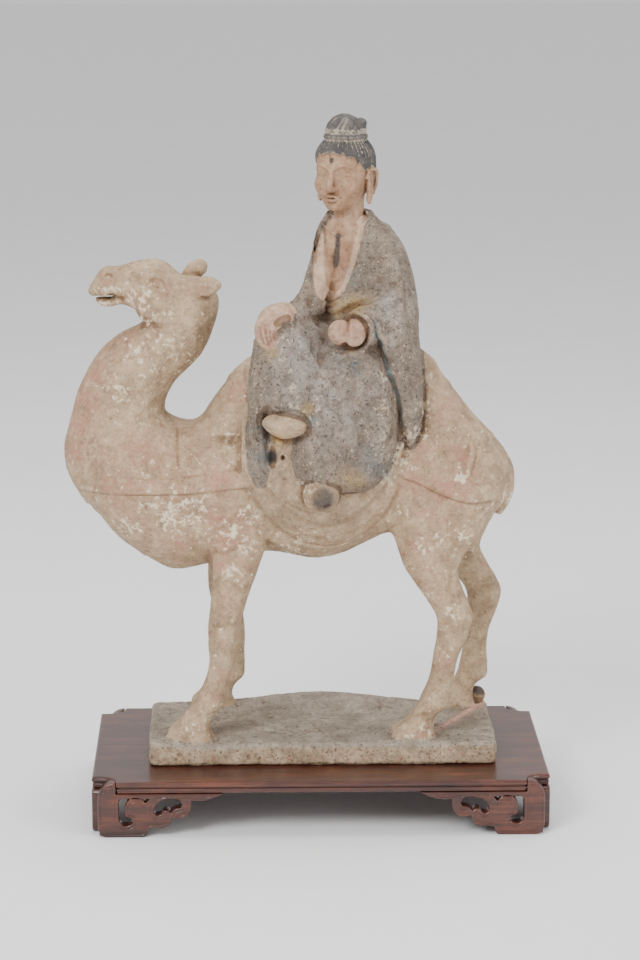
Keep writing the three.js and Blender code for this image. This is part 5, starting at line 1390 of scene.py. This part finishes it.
# Patches of colour: x, z, radius and strength, in the plane y = -45.
PATCHES = {
    "pink": [
        (-164, 303, 13, 0.9), (-156, 322, 11, 0.9), (-168, 286, 9, 1.0), (-172, 268, 9, 0.9), (-147, 336, 10, 0.6), (-134, 344, 9, 0.6),
        (-124, 268, 17, 0.7), (-113, 262, 12, 0.6), (-150, 262, 10, 0.5), (-90, 272, 14, 0.35), (-100, 240, 14, 0.5), (-142, 241, 13, 0.9),
        (-120, 242, 10, 0.7), (-70, 246, 12, 0.9), (-58, 306, 9, 0.7), (-72, 217, 10, 0.9), (-56, 214, 9, 0.6), (-64, 200, 13, 0.8),
        (-70, 186, 6, 1.0), (-55, 188, 9, 0.5), (-66, 158, 8, 0.45), (-100, 200, 8, 0.8), (-134, 224, 7, 0.7), (-124, 212, 6, 0.7),
        (99, 262, 9, 0.9), (103, 246, 9, 0.9), (88, 240, 12, 0.9), (100, 232, 8, 1.0), (74, 262, 12, 0.6), (66, 244, 10, 0.7),
        (90, 296, 12, 0.5), (76, 222, 9, 0.6), (90, 214, 7, 0.6), (70, 196, 10, 0.6), (76, 178, 8, 0.5), (86, 164, 8, 0.4),
        (-46, 246, 6, 0.5), (72, 60, 6, 0.6), (-84, 62, 6, 0.4), (-76, 86, 5, 0.5),
        (-128, 372, 10, 0.3), (-146, 386, 7, 0.5), (-110, 380, 7, 0.5), (-84, 382, 8, 0.4), (90, 112, 8, 0.5), (-70, 104, 6, 0.4),
    ],
    # Pale cream slip patches, partly painted highlights.
    "cream_and_highlight": [
        (-142, 378, 8, 0.9), (-124, 376, 12, 0.8), (-118, 362, 14, 0.5), (-150, 372, 7, 0.9), (-104, 366, 8, 0.5), (-126, 336, 9, 0.8),
        (-108, 345, 10, 0.6), (-96, 330, 14, 0.5), (-112, 318, 12, 0.5), (-140, 312, 10, 0.7), (-132, 300, 9, 0.5), (-104, 296, 12, 0.5),
        (-126, 252, 10, 0.5), (-60, 268, 12, 0.6), (-96, 226, 15, 0.9), (-104, 216, 10, 0.9), (-120, 226, 11, 0.6), (-84, 206, 7, 0.7),
        (-134, 212, 10, 0.8), (-62, 209, 9, 1.0), (-52, 198, 8, 0.7), (-60, 178, 8, 0.8), (-50, 222, 8, 0.6), (-68, 140, 7, 0.4),
        (-74, 74, 9, 0.5), (-92, 64, 9, 0.5), (-20, 196, 14, 0.5), (8, 192, 12, 0.4), (58, 262, 9, 1.0), (66, 278, 8, 1.0), (74, 298, 6, 1.0),
        (76, 316, 5, 0.8), (48, 246, 7, 0.9), (45, 318, 6, 0.7), (44, 296, 7, 0.9), (42, 276, 7, 0.8), (38, 264, 6, 0.7), (100, 246, 6, 0.9),
        (134, 232, 7, 0.9), (118, 222, 9, 0.5), (78, 196, 10, 0.6), (100, 206, 9, 0.8), (60, 222, 8, 0.5), (76, 158, 8, 0.7), (94, 148, 8, 0.7),
        (88, 116, 8, 0.4), (72, 60, 10, 0.6), (-22, 322, 5, 0.7), (-28, 346, 5, 0.8), (-26, 334, 5, 0.8), (-18, 312, 5, 0.6), (4, 318, 4, 0.8),
        (-8, 240, 7, 0.7), (-2, 298, 6, 0.5), (-4, 292, 4, 0.8),
    ],
    # Turquoise paint along hems and edges. The broad faint spots on the knee and the hanging leg are a painted bluish
    # sheen.
    "blue": [
        (-42, 282, 7, 0.55), (-40, 262, 7, 0.6), (-38, 274, 5, 0.6), (38, 254, 8, 0.6), (32, 262, 9, 0.45), (46, 250, 5, 0.6), (24.5, 327, 4, 0.6),
        (-5.5, 288, 3, 0.9), (20, 392, 4, 0.5), (21.5, 386, 4, 0.5), (-14, 330, 12, 0.16), (-4, 344, 12, 0.14), (20, 276, 14, 0.12),
        (14, 328, 5, 0.3), (46, 372, 7, 0.25), (26, 322, 3, 0.5),
    ],
    "ochre": [
        (14, 367, 7, 0.8), (24, 369, 7, 0.9), (33, 372, 5, 0.5), (-34, 336, 5, 0.6), (-28.7, 274.6, 4, 1.0), (-9, 296, 4, 0.8), (20, 246, 8, 0.5),
        (28, 244, 6, 0.5), (22, 338, 3, 0.6), (-4, 235, 4, 0.3),
    ],
    # Painted sheen: a pale grey laid over the robe on the knee, the lap and the sleeve.
    "grey_and_sheen": [
        (-14, 336, 20, 0.8), (-4, 318, 16, 0.8), (4, 300, 16, 0.7), (48, 368, 12, 0.7), (10, 340, 12, 0.5), (34, 306, 10, 0.6), (-20, 306, 12, 0.6),
        (24, 290, 14, 0.6), (44, 344, 8, 0.5), (12, 420, 12, 0.2), (-30, 330, 10, 0.5), (0, 280, 14, 0.4),
    ],
    # Painted shadow: near-black spots in the recesses by the shoes and in fold hollows. The same mask also carries the
    # dark beads, the forehead mark and the lump on the slab.
    "dark_and_shadow": [(2, 232, 11, 0.9), (-30, 289, 6, 0.4), (-34, 262, 6, 0.9), (-20, 270, 8, 0.4), (5, 306, 6, 0.5), (12, 302, 5, 0.4)],
}


def patches(name, x, z):
    total = np.zeros(len(x))
    for px, pz, radius, strength in PATCHES[name]:
        total = np.maximum(total, strength * np.exp(-((x - px) ** 2 + (z - pz) ** 2) / radius**2))
    return total


def body_masks(field, saddle, robe, points, triangles):
    normals = outward(points, triangles)
    x, z = as_seen(points, -45)
    front = 1 - ease(points[:, 1], -8, 4)
    crease, ridge = hollowness(field, points, normals, 2.6)
    deep, _ = hollowness(field, points, normals, 7.0)
    masks = {name: patches(name, x, z) for name in PATCHES}
    masks["robe"] = 1 - ease(robe.sample(points), 1.2, 2.6)
    masks["saddle"] = (1 - ease(saddle.sample(points), 0.8, 2.6)) * (1 - masks["robe"])
    masks["slab"] = 1 - ease(points[:, 2] - slab_top(points[:, 0], points[:, 1]), 0.8, 2.4)
    masks["slab_side"] = masks["slab"] * (1 - ease(points[:, 2] - slab_top(points[:, 0], points[:, 1]), -4.5, -1.5))
    chest = flat_distance(closed(CHEST_OPENING))(*as_seen(points, -35))
    inner = flat_distance(closed(INNER_OPENING))(*as_seen(points, -35))
    forward = 1 - ease(points[:, 1], -18, -12)
    masks["chest"] = (1 - ease(chest, -0.9, 0.3)) * forward
    masks["skin"] = (1 - ease(inner, -0.8, 0.6)) * forward
    hand = flat_distance(closed([(-31.3, 372.2), (-39.2, 367.3), (-43.9, 358.3), (-42.9, 348.3), (-40.3, 341.5), (-36, 339.5), (-31.6, 342.2), (-30.0, 351.2), (-29.6, 358.2), (-22, 360), (-19, 366), (-24, 371)]))
    stump = flat_distance(closed([(6.1, 356.4), (12, 362.4), (19, 362.4), (25, 361.8), (31.8, 356), (31, 348), (26.9, 344), (17, 341.5), (10, 345)]))
    near = 1 - ease(points[:, 1], -50, -44)
    masks["hand"] = np.maximum(1 - ease(hand(*as_seen(points, -55)), -0.8, 0.8), 1 - ease(stump(*as_seen(points, -57)), -0.8, 0.8)) * near
    hem = field.seen([(37.9, 355.5), (39.5, 348.5), (43.5, 340.4), (46, 328.2), (47.5, 321.1), (51.6, 314), (54.6, 304.9), (56.5, 294), (57.5, 284)], -42)
    masks["blue"] = np.maximum(masks["blue"] * 0.8, np.exp(-((gap_to(points, hem) / 1.6) ** 2)))
    beads = field.seen([(12.9, 416.4), (12.5, 411.2), (11.9, 404), (11.3, 396)], -34)
    masks["dark_and_shadow"] = np.maximum(masks["dark_and_shadow"], np.exp(-((gap_to(points, beads) / 2.6) ** 2)))
    crack = np.array([(77, -40), (83, -31), (92, -14), (103, 6), (113, 25), (124, 46)], float)
    crack = np.column_stack([crack, slab_top(crack[:, 0], crack[:, 1])])
    masks["plaster"] = np.exp(-((gap_to(points, crack) / 3.2) ** 2)) * ease(points[:, 1], -44, -10)
    lump = np.linalg.norm((points - [118, 50, 65]) / [9, 7, 6], axis=1)
    masks["dark_and_shadow"] = np.maximum(masks["dark_and_shadow"], (1 - ease(lump, 0.8, 1.3)) * 0.7)
    masks["blue"] *= front
    masks["ochre"] *= front
    masks["grey_and_sheen"] = masks["grey_and_sheen"] * front + 0.35 * (1 - front) * ease(grain(points, 30, 9), -0.2, 0.5)
    masks["crease"] = np.clip(crease * 1.2 + deep * 0.5, 0, 1)
    masks["ridge"] = ridge
    masks["hair"] = np.zeros(len(points))
    masks["band"] = np.zeros(len(points))
    return masks


def head_masks(head, local, triangles, names):
    normals = outward(local, triangles)
    crease, ridge = hollowness(head, local, normals, 1.3)
    x, y, z = local.T
    masks = {name: np.zeros(len(local)) for name in names}
    masks["hair"] = ease(above_hairline(x, y, z), -0.6, 0.9) * np.maximum(ease(np.abs(np.hypot(x, y)), 16, 17.5), ease(z, 12, 16))
    ear = (np.abs(x) > 19.3) & (z < 4.2) & (z > -22)
    masks["hair"][ear] *= 0.1
    masks["skin"] = 1 - masks["hair"]
    masks["band"] = ease(z, 26.9, 27.6) * (1 - ease(z, 30.2, 31.2)) + (1 - ease(np.abs(z - 24.9), 1.0, 1.6)) * 0.4
    masks["dark_and_shadow"] = 1 - ease(np.linalg.norm(local - [0, -19.9, 10.3], axis=1), 1.5, 2.1)
    masks["crease"] = crease
    masks["ridge"] = ridge
    return masks


def build_figure(material):
    field, saddle, robe = carve_figure()
    points, triangles = field.surface()
    normals = outward(points, triangles)
    rough = np.maximum(0.75 * (1 - ease(robe.sample(points), 1.2, 2.6)), 1.0 - ease(points[:, 2], 57, 68))
    rough *= 1 - 0.9 * (1 - ease(np.abs(points - [-33, -54, 353]).max(1), 7, 12))
    points = weathered(points, normals, rough)
    points, triangles = thinned(points, triangles, BODY_TRIANGLES)
    masks = body_masks(field, saddle, robe, points, triangles)

    head = rider_head()
    local, faces = head.surface()
    local = local + outward(local, faces) * (0.16 * grain(local, 5, 7) + 0.07 * grain(local, 1.6, 8))[:, None]
    local, faces = thinned(local, faces, HEAD_TRIANGLES)
    more = head_masks(head, local, faces, masks)
    for name in masks:
        masks[name] = np.concatenate([masks[name], more[name]])
    triangles = np.concatenate([triangles, faces + len(points)])
    points = np.concatenate([points, from_head(local)])
    figure = make_object("figure_clay", points, triangles, material, masks)
    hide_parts("figure")


def build_stand(material):
    points, triangles = make_board()
    board = make_object("board_wood", points, triangles, material, smooth=False)
    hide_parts("stand_board")
    points, triangles = make_foot()
    points, triangles = thinned(points, triangles, FOOT_TRIANGLES)
    for sy, depth in ((1, "front"), (-1, "back")):
        for sx, side in ((1, "left"), (-1, "right")):
            faces = triangles if sx * sy > 0 else triangles[:, ::-1]
            foot = make_object(f"foot_wood_{depth}_{side}", points * [sx, sy, 1], faces, material)
            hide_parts(f"stand_foot_{depth}_{side}")


# Materials
class Shader:
    """Builds one node material; colours are linear and positions are millimetres."""

    def __init__(self, name):
        self.material = bpy.data.materials.new(name)
        self.material.use_nodes = True
        self.nodes = self.material.node_tree.nodes
        self.links = self.material.node_tree.links
        self.surface = self.nodes["Principled BSDF"]
        place = self.nodes.new("ShaderNodeTexCoord").outputs["Object"]
        self.place = self.stretched(place, (1000, 1000, 1000))

    def put(self, socket, value):
        if isinstance(value, bpy.types.NodeSocket):
            self.links.new(value, socket)
        elif isinstance(value, tuple) and len(value) == 3 and socket.type == "RGBA":
            socket.default_value = (*value, 1)
        else:
            socket.default_value = value

    def stretched(self, vector, scale):
        node = self.nodes.new("ShaderNodeVectorMath")
        node.operation = "MULTIPLY"
        self.put(node.inputs[0], vector)
        self.put(node.inputs[1], scale)
        return node.outputs[0]

    def noise(self, size, detail=3, roughness=0.55, stretch=(1, 1, 1), shift=0.0):
        node = self.nodes.new("ShaderNodeTexNoise")
        node.noise_dimensions = "4D"
        self.put(node.inputs["Vector"], self.stretched(self.place, stretch))
        self.put(node.inputs["Scale"], 1 / size)
        self.put(node.inputs["Detail"], detail)
        self.put(node.inputs["Roughness"], roughness)
        self.put(node.inputs["W"], shift)
        return node.outputs["Fac"]

    def mask(self, name):
        node = self.nodes.new("ShaderNodeAttribute")
        node.attribute_name = name
        return node.outputs["Fac"]

    def math(self, operation, a, b=0.0):
        node = self.nodes.new("ShaderNodeMath")
        node.operation = operation
        self.put(node.inputs[0], a)
        self.put(node.inputs[1], b)
        return node.outputs[0]

    def step(self, value, low, high):
        node = self.nodes.new("ShaderNodeMapRange")
        node.interpolation_type = "SMOOTHSTEP"
        self.put(node.inputs["Value"], value)
        self.put(node.inputs["From Min"], low)
        self.put(node.inputs["From Max"], high)
        return node.outputs["Result"]

    def mix(self, share, a, b, kind="MIX"):
        node = self.nodes.new("ShaderNodeMix")
        node.data_type = "RGBA"
        node.blend_type = kind
        self.put(node.inputs[0], share)
        self.put(node.inputs[6], a)
        self.put(node.inputs[7], b)
        return node.outputs[2]

    def ramp(self, value, *stops):
        node = self.nodes.new("ShaderNodeValToRGB")
        bar = node.color_ramp
        while len(bar.elements) < len(stops):
            bar.elements.new(0.5)
        for element, (place, colour) in zip(bar.elements, stops):
            element.position = place
            element.color = (*colour, 1)
        self.put(node.inputs[0], value)
        return node.outputs[0]

    def times(self, *values):
        total = values[0]
        for value in values[1:]:
            total = self.math("MULTIPLY", total, value)
        return total

    def plus(self, *values):
        total = values[0]
        for value in values[1:]:
            total = self.math("ADD", total, value)
        return total

    def finish(self, colour, roughness, height, depth):
        self.put(self.surface.inputs["Base Color"], colour)
        self.put(self.surface.inputs["Roughness"], roughness)
        bump = self.nodes.new("ShaderNodeBump")
        self.put(bump.inputs["Height"], height)
        self.put(bump.inputs["Distance"], depth)
        self.put(bump.inputs["Strength"], 1.0)
        self.put(self.surface.inputs["Normal"], bump.outputs[0])
        return self.material


def clay_material():
    s = Shader("painted_clay")
    broad = s.noise(24, 4, 0.6)
    middle = s.noise(8, 5, 0.65, shift=3)
    small = s.noise(2.6, 4, 0.7, shift=5)
    speck = s.noise(1.3, 2, 0.6, shift=8)
    dust = s.noise(0.8, 2, 0.5, shift=12)
    blend = s.plus(s.times(broad, 0.3), s.times(middle, 0.45), s.times(small, 0.25))

    camel = s.ramp(blend, (0.36, (0.19, 0.115, 0.062)), (0.48, (0.36, 0.245, 0.145)), (0.6, (0.52, 0.385, 0.245)))
    pink = s.times(s.mask("pink"), s.step(s.noise(6, 4, 0.7, shift=20), 0.36, 0.56))
    camel = s.mix(s.times(pink, 0.8), camel, (0.40, 0.17, 0.115))
    # Pale cream slip in patches, with a painted highlight that lifts it on ridges. The robe gets the same pale colour.
    pale_and_highlight_level = s.plus(s.noise(4.2, 4, 0.7, shift=30), s.times(s.mask("cream_and_highlight"), 0.17), s.times(s.mask("ridge"), 0.1))
    cream_and_highlight = s.step(pale_and_highlight_level, 0.6, 0.7)
    camel = s.mix(s.times(cream_and_highlight, 0.8), camel, (0.78, 0.66, 0.48))

    robe = s.ramp(blend, (0.36, (0.085, 0.062, 0.045)), (0.5, (0.19, 0.145, 0.11)), (0.62, (0.30, 0.24, 0.18)))
    # Painted sheen: the robe turns pale grey at the grey patches on the front. On the back the grey is random tone.
    robe = s.mix(s.times(s.mask("grey_and_sheen"), s.step(middle, 0.36, 0.6), 0.75), robe, (0.36, 0.325, 0.30))
    robe = s.mix(s.times(cream_and_highlight, 0.6), robe, (0.66, 0.55, 0.39))
    robe = s.mix(s.times(s.step(s.noise(9, 4, 0.7, shift=44), 0.5, 0.7), 0.4), robe, (0.24, 0.13, 0.085))
    pale_specks = s.step(s.plus(speck, s.times(small, 0.35)), 0.82, 0.9)
    robe = s.mix(s.times(pale_specks, 0.8), robe, (0.62, 0.50, 0.34))
    pits = s.step(s.plus(speck, s.times(small, 0.5)), 0.66, 0.56)
    robe = s.mix(s.times(pits, 0.85), robe, (0.028, 0.02, 0.015))

    saddle = s.mix(0.45, camel, s.ramp(blend, (0.36, (0.15, 0.10, 0.06)), (0.6, (0.42, 0.31, 0.20))))

    slab = s.ramp(blend, (0.36, (0.15, 0.115, 0.085)), (0.5, (0.27, 0.22, 0.168)), (0.62, (0.40, 0.34, 0.265)))
    slab_side = s.ramp(blend, (0.36, (0.17, 0.11, 0.065)), (0.5, (0.36, 0.26, 0.165)), (0.62, (0.55, 0.42, 0.28)))
    slab = s.mix(s.mask("slab_side"), slab, slab_side)
    red_specks = s.times(s.step(s.noise(5, 4, 0.7, shift=51), 0.6, 0.68), s.mask("slab_side"))
    slab = s.mix(s.times(red_specks, 0.75), slab, (0.42, 0.13, 0.06))
    slab = s.mix(s.times(pits, 0.7), slab, (0.045, 0.033, 0.024))
    slab = s.mix(s.times(pale_specks, 0.6), slab, (0.62, 0.50, 0.36))

    skin = s.ramp(blend, (0.36, (0.20, 0.10, 0.052)), (0.48, (0.33, 0.185, 0.105)), (0.6, (0.46, 0.30, 0.19)))
    hand = s.ramp(blend, (0.36, (0.24, 0.13, 0.075)), (0.48, (0.40, 0.235, 0.16)), (0.6, (0.55, 0.38, 0.27)))
    chest_band = s.ramp(blend, (0.36, (0.32, 0.20, 0.13)), (0.5, (0.50, 0.34, 0.235)), (0.62, (0.66, 0.50, 0.36)))
    hair = s.ramp(blend, (0.36, (0.028, 0.026, 0.028)), (0.5, (0.075, 0.066, 0.062)), (0.62, (0.17, 0.145, 0.125)))
    hair = s.mix(s.times(s.step(s.mask("crease"), 0.12, 0.5), s.step(small, 0.3, 0.5)), hair, (0.46, 0.38, 0.28))
    hair = s.mix(s.times(s.mask("band"), s.step(small, 0.4, 0.55), 0.8), hair, (0.42, 0.35, 0.27))

    colour = camel
    colour = s.mix(s.mask("saddle"), colour, saddle)
    colour = s.mix(s.step(s.plus(s.mask("robe"), s.times(s.plus(small, -0.5), 0.8)), 0.4, 0.6), colour, robe)
    colour = s.mix(s.mask("slab"), colour, slab)
    colour = s.mix(s.mask("chest"), colour, chest_band)
    colour = s.mix(s.mask("skin"), colour, skin)
    colour = s.mix(s.mask("hand"), colour, hand)
    colour = s.mix(s.mask("hair"), colour, hair)
    # Near-black: real dark paint on the beads, the forehead mark and the slab lump, and painted shadow at the listed
    # spots by the shoes and in fold hollows.
    colour = s.mix(s.times(s.step(s.mask("dark_and_shadow"), 0.25, 0.75), 0.85), colour, (0.035, 0.032, 0.034))
    colour = s.mix(s.times(s.mask("plaster"), s.step(small, 0.32, 0.5), 0.9), colour, (0.62, 0.33, 0.25))
    paint_wear = s.step(s.noise(2.2, 4, 0.7, shift=60), 0.38, 0.52)
    # Turquoise paint, plus a faint painted sheen from the broad blue spots on the knee.
    colour = s.mix(s.times(s.mask("blue"), paint_wear, 0.85), colour, (0.055, 0.135, 0.17))
    colour = s.mix(s.times(s.mask("ochre"), paint_wear, 0.8), colour, (0.46, 0.29, 0.08))
    # Painted shade: the colour darkens in creases and hollows, more where they are deep.
    crease_shade = s.times(s.step(s.plus(s.mask("crease"), s.times(s.plus(middle, -0.5), 0.5)), 0.12, 0.62), s.math("SUBTRACT", 1.0, s.mask("hair")))
    colour = s.mix(s.times(crease_shade, 0.7), colour, (0.42, 0.30, 0.2), "MULTIPLY")
    specks = s.times(s.step(s.plus(speck, s.times(dust, 0.3)), 0.5, 0.42), s.math("SUBTRACT", 1.0, s.mask("robe")))
    colour = s.mix(s.times(specks, 0.6), colour, (0.36, 0.25, 0.17), "MULTIPLY")

    roughness = s.plus(0.62, s.times(middle, 0.35), s.times(s.mask("grey_and_sheen"), -0.12))
    height = s.plus(s.times(small, 0.9), s.times(speck, 0.45), s.times(dust, 0.2), s.times(pits, -0.35))
    return s.finish(colour, roughness, height, 0.0006)


def wood_material():
    s = Shader("dark_hardwood")
    figure = s.noise(9, 5, 0.6, (0.12, 1, 1))
    grain_lines = s.noise(1.6, 4, 0.7, (0.05, 1, 1), 4)
    pores = s.noise(0.9, 2, 0.6, (0.07, 1, 1), 9)
    mottle = s.noise(18, 4, 0.6, shift=14)
    blend = s.plus(s.times(figure, 0.45), s.times(grain_lines, 0.35), s.times(mottle, 0.2))
    colour = s.ramp(blend, (0.36, (0.018, 0.005, 0.0035)), (0.5, (0.06, 0.0155, 0.009)), (0.62, (0.14, 0.037, 0.016)))
    colour = s.mix(s.times(s.step(pores, 0.42, 0.34), 0.7), colour, (0.012, 0.005, 0.004))
    roughness = s.plus(0.26, s.times(grain_lines, 0.22))
    s.surface.inputs["Coat Weight"].default_value = 0.35
    s.surface.inputs["Coat Roughness"].default_value = 0.18
    height = s.plus(s.times(grain_lines, 0.4), s.times(pores, 0.5), s.times(mottle, 0.8))
    return s.finish(colour, roughness, height, 0.00012)


def floor_material():
    s = Shader("pale_floor")
    colour = s.ramp(s.noise(60, 3), (0.3, (0.90, 0.90, 0.90)), (0.7, (0.93, 0.93, 0.93)))
    return s.finish(colour, s.plus(0.85, s.times(s.noise(20), 0.1)), s.noise(3), 0.00005)


# Camera, light and floor
def look():
    data = bpy.data.cameras.new("camera")
    data.lens = 120
    data.sensor_width = 36
    data.clip_end = 30
    camera = bpy.data.objects.new("camera", data)
    forward = Vector((0.02388787, 0.97743, -0.20990466)).normalized()
    right = Vector((math.cos(math.radians(1.4)), -math.sin(math.radians(1.4)), 0))
    up = right.cross(forward)
    place = (EYE + STAND_MIDDLE) / 1000
    rows = [(right[i], up[i], -forward[i], place[i]) for i in range(3)]
    camera.matrix_world = Matrix(rows + [(0, 0, 0, 1)])
    bpy.context.scene.collection.objects.link(camera)
    bpy.context.scene.camera = camera


def area_light(name, place, size, power):
    data = bpy.data.lights.new(name, "AREA")
    data.shape = "DISK"
    data.size = size
    data.energy = power
    made = bpy.data.objects.new(name, data)
    made.location = place
    made.rotation_euler = (Vector((0, 0, 0.2)) - Vector(place)).to_track_quat("-Z", "Y").to_euler()
    bpy.context.scene.collection.objects.link(made)


def studio():
    area_light("key", (-1.1, -1.7, 1.6), 1.0, 46)
    area_light("fill", (1.8, -1.2, 0.9), 1.6, 20)
    area_light("top", (0.1, 0.3, 2.0), 1.4, 22)
    world = bpy.data.worlds.new("studio")
    world.use_nodes = True
    world.node_tree.nodes["Background"].inputs["Color"].default_value = (1, 1, 1, 1)
    world.node_tree.nodes["Background"].inputs["Strength"].default_value = 0.8
    bpy.context.scene.world = world
    mesh = bpy.data.meshes.new("floor")
    mesh.from_pydata([(-9, -9, 0), (9, -9, 0), (9, 9, 0), (-9, 9, 0)], [], [(0, 1, 2, 3)])
    mesh.materials.append(floor_material())
    floor = bpy.data.objects.new("floor", mesh)
    bpy.context.scene.collection.objects.link(floor)


look()
studio()
build_figure(clay_material())
build_stand(wood_material())
